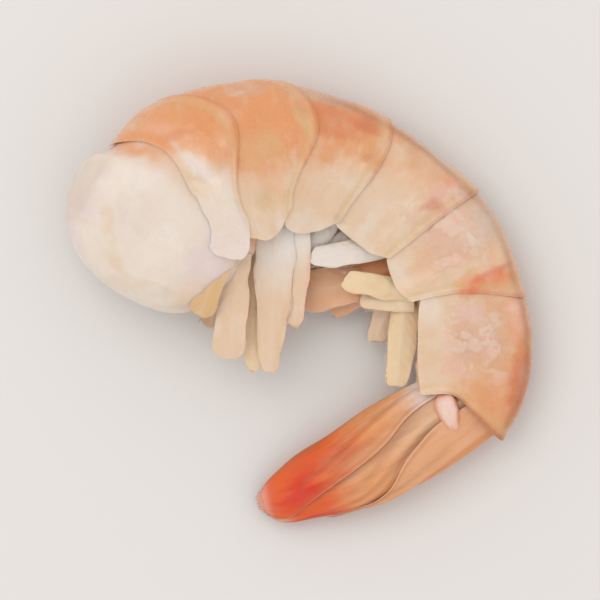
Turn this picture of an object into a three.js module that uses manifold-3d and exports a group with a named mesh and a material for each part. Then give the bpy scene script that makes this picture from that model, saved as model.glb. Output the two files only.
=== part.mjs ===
// One cooked, headless shrimp in its shell, curled up and lying on its side.
// Its plump flesh runs through six overlapping shell rings. Five pairs of two-branched swimming legs
// hang from the belly, and a folded tail fan closes the far end.
// Millimetres and degrees. +Z is up and runs across the body, so the curl lies in the XY plane.
// The tail lies towards -Y.
import * as THREE from "three";
import Module from "manifold-3d";

// The six shell rings, head end first: length along the body's middle, and how far the body curls in it.
const RINGS = [
  { length: 5.2, curl: 12 },
  { length: 8.6, curl: 30.5 },
  { length: 9.3, curl: 30 },
  { length: 10.3, curl: 27 },
  { length: 10.4, curl: 27.5 },
  { length: 14.1, curl: 35 },
];
const FIRST_JOINT = { x: -14.11, y: 10.84, heading: 48.6 };

// The body over its shell at the rings' joints: half its height from back to belly, and its width
// as a share of that.
const HALF_HEIGHTS = [11.5, 10.6, 8.8, 7.15, 6.7, 7.1, 7.1];
const WIDTH_SHARES = [0.62, 0.66, 0.68, 0.68, 0.65, 0.57, 0.48];
const SQUARENESS = 2.3; // exponent of the oval cross-section
const BELLY_FLATNESS = 0.08;
// How far the back stands out past the oval section: pairs of distance along the axis and height.
const BACK_GROWTH = [
  [-12.3, 0.4], [-10, 0.8], [-7, 1.2], [-4, 1.4], [0, 1.15], [6, 1.1], [10, 0.7], [14, 0.35], [18, 0],
  [24, -0.15], [31, 0], [36, 0.5], [40, 0.35], [43, 0], [46, 0.45], [52, 0.8], [55, 0.6], [58.5, 0],
];

// The shell: its wall, the gap round it, and the edges that overlap like roof tiles.
const SHELL = { wall: 0.5, gap: 0.36, tuck: 1.0, overlap: 0.9, rise: 2.4, bendAngle: 105 };
const SKIRT_ANGLES = [138, 147, 162, 163, 158, 142]; // how far round each ring's skirt reaches
const SKIRT_ROUNDING = 15;
const SWEEPS = [3.4, 2.6, 0.7, -0.6, -2.2, 0]; // how far each ring's rear edge bows backwards on the flank
// The first ring's front edge bows too, and its lower lobe reaches on.
const FRONT_EDGE = { bow: 3.2, lobe: 1.4 };
// The last ring's rear edge is notched: pairs of share of the way round and distance past the ring's end.
const TAIL_NOTCH = [[0, 0.3], [0.28, 0.0], [0.56, -1.1], [0.74, -2.3], [0.93, -1.4], [1, -1.0]];
const LIFT = SHELL.wall + SHELL.gap; // height of one edge above the next ring
const OUTERMOST = 2 * LIFT;
const FLAT_DEPTH = 0.35; // how far the round flank is pressed flat where it lies

// The bare flesh that swells out of the first ring, and where it ends inside the last one.
const STUB = { length: 12.3, curl: 13, roundness: 2.5, swell: 0.09, lump: 0.03 };
const FLESH_END = { short: 1.5, round: 4.5, share: 0.46 };
// The flesh then runs on into the fan's root: distance along the fan, half sizes, and height of the middle.
const TAIL_ROOT = [
  { distance: 0.6, halfHeight: 2.5, halfWidth: 1.05, z: 4.15 },
  { distance: 2.2, halfHeight: 2.5, halfWidth: 1.0, z: 4.0 },
  { distance: 4.0, halfHeight: 2.5, halfWidth: 0.95, z: 3.95 },
  { distance: 5.6, halfHeight: 2.0, halfWidth: 0.7, z: 3.9 },
];
const TAIL_ROOT_END = 6.2;

// Swimming legs in pairs: the ring and the place along it, then the leg on the upper and the lower flank
// with its length, its widths at the root and the tip, its swing from the belly's normal towards the head,
// and the share of it before its knee.
const LEGS = [
  { ring: 0, along: -0.85, upper: { length: 7.4, widths: [3.2, 4.2], swing: 61, knee: 0.04 },
    lower: { length: 5.4, widths: [2.6, 2.8], swing: 100, knee: 0.12 } },
  { ring: 1, along: 0.5, upper: { length: 16.7, widths: [5.2, 2.8], swing: 31, knee: 0.25 },
    lower: { length: 17.1, widths: [3.2, 2.2], swing: 38, knee: 0.2 } },
  { ring: 2, along: 1.0, upper: { length: 7.2, widths: [2.8, 3.0], swing: 39, knee: 0.35 },
    lower: { length: 6.8, widths: [2.2, 2.6], swing: 18, knee: 0.35 } },
  { ring: 3, along: 0.85, upper: { length: 8.8, widths: [2.4, 2.8], swing: 43, knee: 0.2 },
    lower: { length: 10.4, widths: [3.4, 4.2], swing: 12, knee: 0.3 } },
  { ring: 4, along: 0.38, upper: { length: 7.0, widths: [2.8, 2.6], swing: 30, knee: 0.3 },
    lower: { length: 14.4, widths: [2.6, 3.2], swing: -69, knee: 0.16 } },
];
const FLANKS = { upper: 1, lower: -1 };
const LEG = { room: 0.55, thickness: 0.9, across: 0.42, rootShare: 0.5, rootEnd: 0.22,
  innerTurn: 11, innerLength: 0.8, innerWidth: 0.72 };
const LEG_SINK = { upper: 0.2, lower: 0.55 }; // how far a leg droops, as a share of its root's height

// The folded tail fan: a bud that curls on past the last ring, with its half height, half width and
// droop towards the belly as pairs of distance along it and size.
const FAN = { length: 25.6, turn: 29, curl: 27 };
const BUD = {
  halfHeight: [[-4, 3.75], [5, 4.24], [10, 4.1], [15, 3.55], [20, 2.65], [23, 1.7], [25, 0.7], [26, 0.3]],
  halfWidth: [[-4, 2.25], [4, 2.4], [9, 2.4], [15, 2.0], [20, 1.35], [24, 0.6], [26, 0.3]],
  droop: [[-4, 0], [2, 0.4], [8, 0.6], [15, 0.2], [20, 0], [23, -0.45], [26, -0.2]],
};
// Its skin is cut into five thin blades. Each one's two edges are pairs of distance and angle from the back.
// Raised blades lie over the others. The blades reach further forward along the bud's back and belly than
// beside the knuckles on its flanks.
const BLADE = { wall: 0.55, gap: 0.36, backReach: 3.0, bellyReach: 1.4 };
const BLADES = [
  { name: "tail_spine", low: [[0, -50], [3, -66], [5, -72], [8, -61], [11, -36], [13, -20], [18, -9]],
    high: [[0, 50], [3, 66], [5, 72], [8, 61], [11, 36], [13, 20], [18, 9]],
    start: 0.5, end: 17.6, raised: true, flanks: ["upper"] },
  { name: "tail_inner_blade", low: [[0, 40], [8, 30], [12, 6], [16, 3], [21, 3]],
    high: [[0, 116], [9, 106], [13, 98], [17, 84], [21, 60]], start: 2.3, end: 21.2, raised: false,
    flanks: ["upper", "lower"] },
  { name: "tail_outer_blade", low: [[0, 116], [9, 96], [13, 89], [16, 81], [18, 60], [20.5, 22], [23, 4]],
    high: [[0, 160], [10, 172], [18, 170], [22, 166], [25.6, 158]], start: 2.5, end: 25.5, raised: true,
    flanks: ["upper", "lower"] },
];
const BUD_OUTERMOST = 2 * BLADE.wall + BLADE.gap;
const KNUCKLE = { past: -0.1, up: -0.65, across: 3.2, turn: 43,
  halfLength: 2.2, halfHeight: 1.05, halfWidth: 0.8 };

// How finely the faces are cut.
const STEPS = { shellAlong: 6, shellRound: 24, fleshAlong: 34, fleshRound: 24, legAlong: 7, legRound: 8,
  bladeAlong: 11, bladeRound: 6 };

const rad = THREE.MathUtils.degToRad;
const mix = THREE.MathUtils.lerp;
const ramp = THREE.MathUtils.smoothstep;

// Running sums: where each joint lies along the axis, its point and its heading.
const JOINTS = [{ s: 0, x: FIRST_JOINT.x, y: FIRST_JOINT.y, heading: rad(FIRST_JOINT.heading) }];
for (const ring of RINGS) {
  const last = JOINTS.at(-1);
  JOINTS.push({ s: last.s + ring.length, ...alongArc(last, ring, ring.length) });
}
const BODY_LENGTH = JOINTS.at(-1).s;

// A point that far along a ring's arc, which is a piece of a circle.
function alongArc(start, ring, distance) {
  const turn = (-rad(ring.curl) * distance) / ring.length;
  const chord = distance * (turn ? Math.sin(turn / 2) / (turn / 2) : 1);
  const direction = start.heading + turn / 2;
  return {
    x: start.x + chord * Math.cos(direction),
    y: start.y + chord * Math.sin(direction),
    heading: start.heading + turn,
  };
}

// A smooth curve through a value at each joint, held level past both ends.
function betweenJoints(values, joint) {
  const at = (i) => values[Math.min(Math.max(i, 0), values.length - 1)];
  const t = Math.min(Math.max(joint, 0), values.length - 1);
  const k = Math.min(Math.floor(t), values.length - 2);
  const f = t - k;
  const slopeIn = (at(k + 1) - at(k - 1)) / 2;
  const slopeOut = (at(k + 2) - at(k)) / 2;
  const f2 = f * f;
  const f3 = f2 * f;
  return (2 * f3 - 3 * f2 + 1) * at(k) + (f3 - 2 * f2 + f) * slopeIn
    + (3 * f2 - 2 * f3) * at(k + 1) + (f3 - f2) * slopeOut;
}

// A smooth curve through uneven pairs of place and value, held level past both ends.
function through(knots, x) {
  const last = knots.length - 1;
  const slopeAt = (i) => {
    if (i === 0 || i === last) return 0;
    const before = knots[i][0] - knots[i - 1][0];
    const after = knots[i + 1][0] - knots[i][0];
    const fall = (knots[i][1] - knots[i - 1][1]) / before;
    const climb = (knots[i + 1][1] - knots[i][1]) / after;
    return (after * fall + before * climb) / (before + after);
  };
  const at = Math.min(Math.max(x, knots[0][0]), knots[last][0]);
  let k = 0;
  while (k < last - 1 && at > knots[k + 1][0]) k += 1;
  const step = knots[k + 1][0] - knots[k][0];
  const f = (at - knots[k][0]) / step;
  const f2 = f * f;
  const f3 = f2 * f;
  return (2 * f3 - 3 * f2 + 1) * knots[k][1] + (f3 - 2 * f2 + f) * step * slopeAt(k)
    + (3 * f2 - 2 * f3) * knots[k + 1][1] + (f3 - f2) * step * slopeAt(k + 1);
}

// The body's middle, heading and half sizes under the shell, at a distance along its axis.
function station(s) {
  let ring = 0;
  while (ring < RINGS.length - 1 && s > JOINTS[ring + 1].s) ring += 1;
  const distance = s - JOINTS[ring].s;
  const joint = ring + distance / RINGS[ring].length;
  const height = betweenJoints(HALF_HEIGHTS, joint);
  const halfWidth = height * betweenJoints(WIDTH_SHARES, joint) - LIFT;
  return {
    ...alongArc(JOINTS[ring], s < 0 ? STUB : RINGS[ring], distance),
    halfHeight: height - LIFT,
    halfWidth,
    z: halfWidth + OUTERMOST - FLAT_DEPTH,
    backGrowth: through(BACK_GROWTH, s),
  };
}

// A point in the cross-section: up is towards the back, across towards the upper flank.
// Nothing drops below the floor, and each layer keeps its distance from the one outside it.
function place(at, up, across, offset) {
  return new THREE.Vector3(
    at.x - Math.sin(at.heading) * up,
    at.y + Math.cos(at.heading) * up,
    Math.max(at.z + across, OUTERMOST - offset),
  );
}

// The oval section at an angle from the back: a superellipse, a little wider towards the back.
function oval(halfHeight, halfWidth, angle) {
  const c = Math.cos(angle);
  const s = Math.sin(angle);
  const reach = (Math.abs(c) ** SQUARENESS + Math.abs(s) ** SQUARENESS) ** (-1 / SQUARENESS);
  return { up: halfHeight * c * reach, across: halfWidth * s * reach * (1 + 0.05 * c) };
}

// A height in the section with the back's growth: none at the middle, all of it at the back.
function grown(at, up) {
  return up > 0 ? up * (1 + at.backGrowth / at.halfHeight) : up;
}

// The flesh's section is that oval with a flatter belly.
function fleshPoint(s, angle, share, lump) {
  const at = station(s);
  const p = oval(at.halfHeight * share, at.halfWidth * share, angle);
  const flat = p.up < 0 ? 1 - BELLY_FLATNESS * ramp(-Math.cos(angle), 0, 1) : 1;
  return place(at, grown(at, p.up * flat * (1 + lump)), p.across * (1 + lump), 0);
}

// The shell follows the oval down each flank and then hangs straight, as a skirt past the belly.
function shellPoint(s, angle, offset) {
  const at = station(s);
  const a = at.halfHeight + offset;
  const b = at.halfWidth + offset;
  const bend = rad(SHELL.bendAngle);
  const size = Math.abs(angle);
  const side = Math.sign(angle) || 1;
  if (size <= bend) {
    const p = oval(a, b, angle);
    return place(at, grown(at, p.up), p.across, offset);
  }
  const p = oval(a, b, bend);
  const q = oval(a, b, bend - 0.01);
  const step = Math.hypot(p.up - q.up, p.across - q.across);
  const run = (at.halfHeight * (size - bend)) / step;
  const across = p.across + (p.across - q.across) * run;
  return place(at, p.up + (p.up - q.up) * run, side * across, offset);
}

// A triangle mesh from a list of points and a list of corners.
function geometryOf(points, corners) {
  const geometry = new THREE.BufferGeometry().setFromPoints(points);
  geometry.setIndex(corners);
  geometry.computeVertexNormals();
  return geometry;
}

// A closed tube: rows of points round it, each end drawn together on a middle point.
function loft(rows, first, last) {
  const round = rows[0].length;
  const points = [...rows.flat(), first, last];
  const corners = [];
  for (let i = 0; i + 1 < rows.length; i += 1)
    for (let j = 0; j < round; j += 1) {
      const a = i * round + j;
      const b = i * round + ((j + 1) % round);
      corners.push(a, b, a + round, b, b + round, a + round);
    }
  const tail = (rows.length - 1) * round;
  for (let j = 0; j < round; j += 1) {
    const next = (j + 1) % round;
    corners.push(points.length - 2, next, j);
    corners.push(points.length - 1, tail + j, tail + next);
  }
  return geometryOf(points, corners);
}

// A thin closed plate from its outer and inner faces, both given over the unit square.
function plate(along, across, outer, inner) {
  const points = [];
  const corners = [];
  const index = (i, j, layer) => (i * (across + 1) + j) * 2 + layer;
  for (let i = 0; i <= along; i += 1)
    for (let j = 0; j <= across; j += 1)
      points.push(outer(i / along, j / across), inner(i / along, j / across));
  const quad = (a, b, c, d) => corners.push(a, b, c, a, c, d);
  for (let i = 0; i < along; i += 1)
    for (let j = 0; j < across; j += 1) {
      quad(index(i, j, 0), index(i, j + 1, 0), index(i + 1, j + 1, 0), index(i + 1, j, 0));
      quad(index(i, j, 1), index(i + 1, j, 1), index(i + 1, j + 1, 1), index(i, j + 1, 1));
    }
  for (let i = 0; i < along; i += 1) {
    quad(index(i, 0, 0), index(i + 1, 0, 0), index(i + 1, 0, 1), index(i, 0, 1));
    quad(index(i, across, 1), index(i + 1, across, 1), index(i + 1, across, 0), index(i, across, 0));
  }
  for (let j = 0; j < across; j += 1) {
    quad(index(0, j, 1), index(0, j + 1, 1), index(0, j + 1, 0), index(0, j, 0));
    quad(index(along, j, 0), index(along, j + 1, 0), index(along, j + 1, 1), index(along, j, 1));
  }
  return geometryOf(points, corners);
}

const shrimp = new THREE.Group();
const finishes = {
  flesh: new THREE.MeshStandardMaterial({ color: 0xe9ddd0, roughness: 0.45 }),
  shell: new THREE.MeshStandardMaterial({ color: 0xe8a988, roughness: 0.3 }),
  leg: new THREE.MeshStandardMaterial({ color: 0xe6cfb2, roughness: 0.4 }),
  tail: new THREE.MeshStandardMaterial({ color: 0xd9683f, roughness: 0.3 }),
};

function add(name, geometry, finish) {
  const mesh = new THREE.Mesh(geometry, finish);
  mesh.name = name;
  shrimp.add(mesh);
  return mesh;
}

// The flesh's size as a share of the body's: it swells out of the first ring and closes in a dome.
function stubShare(s) {
  const out = Math.max(-s, 0) / STUB.length;
  return (1 - out ** STUB.roundness) ** (1 / STUB.roundness) * (1 + STUB.swell * ramp(out, 0.02, 0.25));
}

// The flesh: a plump round stub in front, the body's oval under the shell, and a drawn-in end.
function makeFlesh() {
  const rows = [];
  const end = BODY_LENGTH - FLESH_END.short;
  for (let i = 0; i < STEPS.fleshAlong; i += 1) {
    const t = (i + 0.35) / (STEPS.fleshAlong - 0.3);
    const s = mix(-STUB.length, end, t ** 1.12);
    const out = Math.max(-s, 0) / STUB.length;
    const tip = ramp(s, end - FLESH_END.round, end);
    const share = stubShare(s) * (1 - (1 - FLESH_END.share) * tip * tip);
    const row = [];
    for (let j = 0; j < STEPS.fleshRound; j += 1) {
      const angle = (2 * Math.PI * j) / STEPS.fleshRound;
      const lump = STUB.lump * ramp(out, 0, 0.5) * Math.sin(3 * angle + 4 * out);
      row.push(fleshPoint(s, angle, share, lump));
    }
    rows.push(row);
  }
  for (const { distance, halfHeight, halfWidth, z } of TAIL_ROOT) {
    const at = { ...fanAxis(distance), z };
    const row = [];
    for (let j = 0; j < STEPS.fleshRound; j += 1) {
      const { up, across } = oval(halfHeight, halfWidth, (2 * Math.PI * j) / STEPS.fleshRound);
      row.push(place(at, up, across, 0));
    }
    rows.push(row);
  }
  const front = fleshPoint(-STUB.length, 0, 0, 0);
  const back = place({ ...fanAxis(TAIL_ROOT_END), z: TAIL_ROOT.at(-1).z }, 0, 0, 0);
  add("flesh", loft(rows, front, back), finishes.flesh);
}

// How far a ring's rear edge bows from a straight cross line, at a share of the way round from the back.
// The fifth one's runs forward all the way to the belly.
function sweepOf(index, side) {
  const bow = index === 4 ? ramp(Math.abs(side), 0.1, 0.7) : Math.sin(Math.abs(side) * Math.PI) ** 2;
  return SWEEPS[index] * bow;
}

// The edges bow on the flank, each front edge with the rear edge over it. The last rear edge is notched.
function shellEdges(index, side) {
  const share = Math.abs(side);
  const flank = Math.sin(share * Math.PI) ** 2;
  const end = JOINTS[index + 1].s;
  const front = index === 0
    ? FRONT_EDGE.bow * flank - FRONT_EDGE.lobe * ramp(share, 0.7, 1)
    : JOINTS[index].s - SHELL.tuck + sweepOf(index - 1, side);
  const rear = index === RINGS.length - 1
    ? end + through(TAIL_NOTCH, share)
    : end + SHELL.overlap * (1 + 0.5 * flank) + sweepOf(index, side);
  return { front, rear };
}

// One shell ring. Its front edge tucks under the ring before, its rear edge rises over the next one,
// and the skirt's lower corners are round.
function makeShell(index) {
  const isLast = index === RINGS.length - 1;
  const last = STEPS.shellAlong;
  const raisedAt = (side) => JOINTS[index + 1].s - SHELL.tuck - 0.2 + sweepOf(index, side);
  const stationOf = (i, side) => {
    const { front, rear } = shellEdges(index, side);
    if (isLast) return mix(front, rear, i / last);
    const raised = raisedAt(side);
    const flat = raised - SHELL.rise;
    if (i === last) return rear;
    return i >= last - 3 ? mix(flat, raised, (i - last + 3) / 2) : mix(front, flat, i / (last - 3));
  };
  const at = (u, v, layer) => {
    const side = 2 * v - 1;
    const skirt = rad(SKIRT_ANGLES[index] - SKIRT_ROUNDING * Math.abs(2 * u - 1) ** 2.5);
    const s = stationOf(Math.round(u * last), side);
    const rise = isLast ? 0 : ramp(s, raisedAt(side) - SHELL.rise, raisedAt(side));
    return shellPoint(s, side * skirt, SHELL.gap + LIFT * rise + layer * SHELL.wall);
  };
  const geometry = plate(last, STEPS.shellRound, (u, v) => at(u, v, 1), (u, v) => at(u, v, 0));
  add(`shell_${index + 1}`, geometry, finishes.shell);
}

// One flat branch of a leg, a strip with a blunt end along a curved path from its root to its tip.
function branchGeometry(root, outward, heading, { length, widths, knee: share, sink }) {
  const turn = new THREE.Vector3(Math.cos(heading), Math.sin(heading), 0);
  const knee = root.clone().addScaledVector(outward, length * share);
  const tip = knee.clone().addScaledVector(turn, length * (1 - share));
  knee.z -= root.z * sink * share;
  tip.z -= root.z * sink;
  const path = new THREE.QuadraticBezierCurve3(root, knee, tip);
  const rows = [];
  for (let i = 0; i < STEPS.legAlong; i += 1) {
    const t = (0.97 * i) / (STEPS.legAlong - 1);
    const middle = path.getPoint(t);
    const along = path.getTangent(t);
    const across = new THREE.Vector3(-along.y, along.x, 0).normalize();
    const face = new THREE.Vector3().crossVectors(along, across).normalize();
    const swell = mix(LEG.rootShare, 1, ramp(t, 0, LEG.rootEnd)) * (1 - t ** 8) ** 0.5;
    const halfWidth = (mix(widths[0], widths[1], t) / 2) * swell;
    const halfThickness = (LEG.thickness / 2) * mix(1.35, 0.7, t);
    const row = [];
    for (let j = 0; j < STEPS.legRound; j += 1) {
      const angle = (2 * Math.PI * j) / STEPS.legRound;
      row.push(middle.clone().addScaledVector(across, halfWidth * Math.cos(angle))
        .addScaledVector(face, halfThickness * Math.sin(angle)));
    }
    rows.push(row);
  }
  return loft(rows, root.clone(), path.getPoint(0.985));
}

const wasm = await Module();
wasm.setup();

function solidOf(geometry) {
  const vertProperties = new Float32Array(geometry.attributes.position.array);
  const triVerts = new Uint32Array(geometry.index.array);
  return new wasm.Manifold(new wasm.Mesh({ numProp: 3, vertProperties, triVerts }));
}

function geometryFrom(solid) {
  const mesh = solid.getMesh();
  const geometry = new THREE.BufferGeometry();
  geometry.setAttribute("position", new THREE.BufferAttribute(new Float32Array(mesh.vertProperties), 3));
  geometry.setIndex(new THREE.BufferAttribute(new Uint32Array(mesh.triVerts), 1));
  geometry.computeVertexNormals();
  return geometry;
}

// One leg: a long outer branch and a shorter inner one that share a root.
function makeLeg(index, flank) {
  const { ring, along, [flank]: leg } = LEGS[index];
  const s = JOINTS[ring].s + along * RINGS[ring].length;
  const at = station(s);
  const belly = -at.halfHeight * (1 - BELLY_FLATNESS) * stubShare(s) - LEG.room;
  const root = place(at, belly, FLANKS[flank] * at.halfWidth * LEG.across, 0);
  const outward = new THREE.Vector3(Math.sin(at.heading), -Math.cos(at.heading), 0);
  const heading = at.heading - Math.PI / 2 - rad(leg.swing);
  const sink = LEG_SINK[flank];
  const outer = branchGeometry(root, outward, heading, { ...leg, sink });
  const innerHeading = heading + rad(LEG.innerTurn);
  const length = leg.length * LEG.innerLength;
  const widths = leg.widths.map((width) => width * LEG.innerWidth);
  const inner = branchGeometry(root, outward, innerHeading, { ...leg, length, widths, sink });
  add(`leg_${index + 1}_${flank}`, geometryFrom(solidOf(outer).add(solidOf(inner))), finishes.leg);
}

// The bud's own axis turns away from the last ring's end and curls on.
function fanAxis(distance) {
  const root = JOINTS.at(-1);
  return alongArc({ x: root.x, y: root.y, heading: root.heading - rad(FAN.turn) }, FAN, distance);
}

// A point on or in the bud.
function fanPoint(distance, angle, offset) {
  const at = fanAxis(distance);
  const halfWidth = through(BUD.halfWidth, distance);
  const up = (through(BUD.halfHeight, distance) + offset) * Math.cos(angle) - through(BUD.droop, distance);
  const across = (halfWidth + offset) * Math.sin(angle);
  const middle = halfWidth + BUD_OUTERMOST - FLAT_DEPTH;
  return new THREE.Vector3(
    at.x - Math.sin(at.heading) * up,
    at.y + Math.cos(at.heading) * up,
    Math.max(middle + across, BUD_OUTERMOST - offset),
  );
}

// One blade of the fan: a strip of the bud's skin with a round end.
function makeBlade(blade, flank) {
  const lift = blade.raised ? BLADE.wall + BLADE.gap : 0;
  const at = (u, v, layer) => {
    const far = mix(blade.start, blade.end, 1 - (1 - u) ** 1.2);
    const from = through(blade.low, far);
    const to = through(blade.high, far);
    const half = ((to - from) / 2) * Math.max((1 - u ** 14) ** 0.5, 0.3);
    const angle = (from + to) / 2 + half * FLANKS[flank] * (2 * v - 1);
    const up = Math.cos(rad(angle));
    const reach = (up > 0 ? BLADE.backReach : -BLADE.bellyReach) * up;
    const distance = far - reach * (1 - ramp(u, 0, 0.4));
    return fanPoint(distance, FLANKS[flank] * rad(angle), lift + layer * BLADE.wall);
  };
  const geometry = plate(STEPS.bladeAlong, STEPS.bladeRound, (u, v) => at(u, v, 1), (u, v) => at(u, v, 0));
  add(blade.flanks.length > 1 ? `${blade.name}_${flank}` : blade.name, geometry, finishes.tail);
}

// The knuckle that carries a pair of blades, in the notch of the last ring.
function makeKnuckle(flank) {
  const at = station(BODY_LENGTH + KNUCKLE.past);
  const mesh = add(`tail_knuckle_${flank}`, new THREE.SphereGeometry(1, 12, 8), finishes.tail);
  mesh.scale.set(KNUCKLE.halfLength, KNUCKLE.halfHeight, KNUCKLE.halfWidth);
  mesh.rotation.z = at.heading + rad(KNUCKLE.turn);
  mesh.position.copy(place(at, KNUCKLE.up, FLANKS[flank] * KNUCKLE.across, 0));
}

makeFlesh();
RINGS.forEach((_, index) => makeShell(index));
for (const flank of Object.keys(FLANKS)) LEGS.forEach((_, index) => makeLeg(index, flank));
for (const blade of BLADES) for (const flank of blade.flanks) makeBlade(blade, flank);
for (const flank of Object.keys(FLANKS)) makeKnuckle(flank);

// The origin goes under the middle of the whole, where it lies.
const box = new THREE.Box3().setFromObject(shrimp);
const middle = box.getCenter(new THREE.Vector3());
for (const mesh of shrimp.children) mesh.position.sub(new THREE.Vector3(middle.x, middle.y, box.min.z));

export default shrimp;
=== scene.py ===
"""A cooked, headless shrimp in its shell, curled up and lying on its side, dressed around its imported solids.

Lengths are millimetres until a mesh is written, and angles are degrees. Every surface is worked out in two steps:
first in the straightened body (distance along the axis, height towards the back, reach towards the upper flank),
then on the curled axis that the solids use. A surface is a grid of rows of ten numbers: its place (3), its place in
the straightened body (3), its linear colour (3) and the strength of its pigment specks (1).
"""
import sys
import logging
from dataclasses import dataclass
from enum import Enum
from functools import cached_property

import bpy
import numpy as np
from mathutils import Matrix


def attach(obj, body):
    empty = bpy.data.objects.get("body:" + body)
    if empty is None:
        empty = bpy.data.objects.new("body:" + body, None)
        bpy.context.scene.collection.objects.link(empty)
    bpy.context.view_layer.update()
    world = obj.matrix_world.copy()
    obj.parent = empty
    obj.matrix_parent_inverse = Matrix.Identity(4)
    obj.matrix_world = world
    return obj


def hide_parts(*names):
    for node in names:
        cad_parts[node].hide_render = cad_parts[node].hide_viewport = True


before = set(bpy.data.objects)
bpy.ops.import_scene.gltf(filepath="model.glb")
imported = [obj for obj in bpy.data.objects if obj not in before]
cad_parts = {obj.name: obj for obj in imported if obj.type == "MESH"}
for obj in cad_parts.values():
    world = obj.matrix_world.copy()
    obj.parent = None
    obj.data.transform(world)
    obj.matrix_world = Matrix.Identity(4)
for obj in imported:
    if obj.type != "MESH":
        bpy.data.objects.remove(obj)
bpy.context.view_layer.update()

log = logging.getLogger("shrimp")
Array = np.ndarray
Knots = tuple[tuple[float, float], ...]
Spot = tuple[float, float, float]
Piece = bpy.types.Object
Socket = bpy.types.NodeSocket
MM = 0.001
ROW = 10
LATTICE = 32


def ramp(x: Array, low: float, high: float) -> Array:
    """A smooth step, 3t² - 2t³ of the share t of the way from low to high, held level outside."""
    t = np.clip((x - low) / (high - low), 0.0, 1.0)
    return t * t * (3 - 2 * t)


def mix(a: Array, b: Array, t: Array) -> Array:
    """The straight blend from a at t = 0 to b at t = 1."""
    return a + (b - a) * t


def bell(x: Array, middle: float, width: float) -> Array:
    """A smooth hump of height 1: e to the minus square of the distance over the width."""
    return np.exp(-(((x - middle) / width) ** 2))


def grid(*columns: Array) -> Array:
    """Stacks values of matching shapes as the last axis of one grid."""
    return np.stack(np.broadcast_arrays(*columns), axis=-1)


def cloud(points: Array, cell: float, seed: int) -> Array:
    """Soft noise in space: random values on a cubic lattice, blended between the eight corners of each cell.

    Args:
        points: Places, with three values on the last axis.
        cell: Size of a lattice cell, in the points' unit.
        seed: Picks the random values.

    Returns:
        A value from -1 to 1 for each point.
    """
    lattice = np.random.default_rng(seed).uniform(-1, 1, (LATTICE,) * 3)
    place = points / cell
    base = np.floor(place).astype(int)
    part = place - base
    part = part * part * (3 - 2 * part)
    total = np.zeros(points.shape[:-1])
    for corner in np.ndindex(2, 2, 2):
        weight = np.prod(np.where(corner, part, 1 - part), axis=-1)
        total += weight * lattice[tuple(np.moveaxis((base + np.array(corner)) % LATTICE, -1, 0))]
    return total


def rough(points: Array, cell: float, seed: int) -> Array:
    """Three sizes of soft noise in one: each next layer has half the cell and half the height."""
    return sum(cloud(points, cell / 2**k, seed + k) / 2**k for k in range(3)) / 1.75


def through(knots: Knots, x: Array, ends: float = 0.0) -> Array:
    """A smooth curve through uneven knots, held level past both ends: cubic pieces with slopes from the neighbours.

    Args:
        knots: Pairs of place and value, in rising order of place.
        x: Places to read.
        ends: Share of its neighbour's slope that the curve keeps at each end.

    Returns:
        The curve's value at each place.
    """
    place, value = np.array(knots, float).T
    slope = np.gradient(value, place)
    slope[[0, -1]] *= ends
    x = np.clip(x, place[0], place[-1])
    k = np.clip(np.searchsorted(place, x, side="right") - 1, 0, len(place) - 2)
    step = place[k + 1] - place[k]
    f = (x - place[k]) / step
    return ((2 * f**3 - 3 * f**2 + 1) * value[k] + (f**3 - 2 * f**2 + f) * step * slope[k]
            + (3 * f**2 - 2 * f**3) * value[k + 1] + (f**3 - f**2) * step * slope[k + 1])


def even(values: tuple[float, ...], x: Array) -> Array:
    """The same curve through values at 0, 1, 2 and so on, which leaves its ends at half the slope."""
    return through(tuple(enumerate(values)), x, 0.5)


class Tint(Enum):
    """Colours of the cooked animal, as display values from 0 to 255; some also serve as painted highlights and
    painted shade.
    """

    FLESH = (226, 214, 202)
    MILK = (228, 218, 209)
    LILAC = (224, 208, 208)
    CREAM = (222, 194, 166)
    PEACH = (222, 172, 134)
    ORANGE = (221, 150, 96)
    RUST = (198, 96, 52)
    EMBER = (224, 86, 12)
    FLAME = (209, 44, 0)
    PINK = (232, 180, 162)
    ROSE = (206, 110, 92)
    STRAW = (214, 176, 128)
    BUTTER = (230, 204, 166)
    OLIVE = (206, 178, 126)
    TAN = (196, 164, 128)
    BARK = (150, 98, 68)
    GREY = (196, 178, 164)

    @property
    def linear(self) -> Array:
        """The tint as the shader's linear light, by the display's power curve."""
        share = np.array(self.value) / 255
        return np.where(share < 0.04045, share / 12.92, ((share + 0.055) / 1.055) ** 2.4)


Layer = tuple[Tint, Array | float]


def painted(base: Tint | Array, like: Array, *layers: Layer) -> Array:
    """Lays tints over a base colour, one after the other.

    Args:
        base: A tint, or linear colours.
        like: Any grid of three values a point, for its shape.
        layers: Each tint, and how much of it from 0 to 1.

    Returns:
        The linear colours.
    """
    paint = np.broadcast_to(base.linear if isinstance(base, Tint) else base, like.shape)
    for tint, amount in layers:
        paint = mix(paint, tint.linear, np.clip(amount, 0, 1)[..., None])
    return paint


def coat(points: Array, straight: Array, paint: Array, speckle: Array | float = 0.0) -> Array:
    """Joins all that a surface's points carry into rows of ten numbers, and spreads single values over the grid.

    Args:
        points: The points.
        straight: The same in the straightened body.
        paint: Their linear colours.
        speckle: How strong the pigment specks are.

    Returns:
        The rows, in the points' grid.
    """
    shape = points.shape[:-1]
    return np.concatenate([points, *(np.broadcast_to(value, (*shape, size)) for value, size in (
        (straight, 3), (paint, 3), (np.asarray(speckle, float)[..., None], 1)))], axis=-1)


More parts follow.
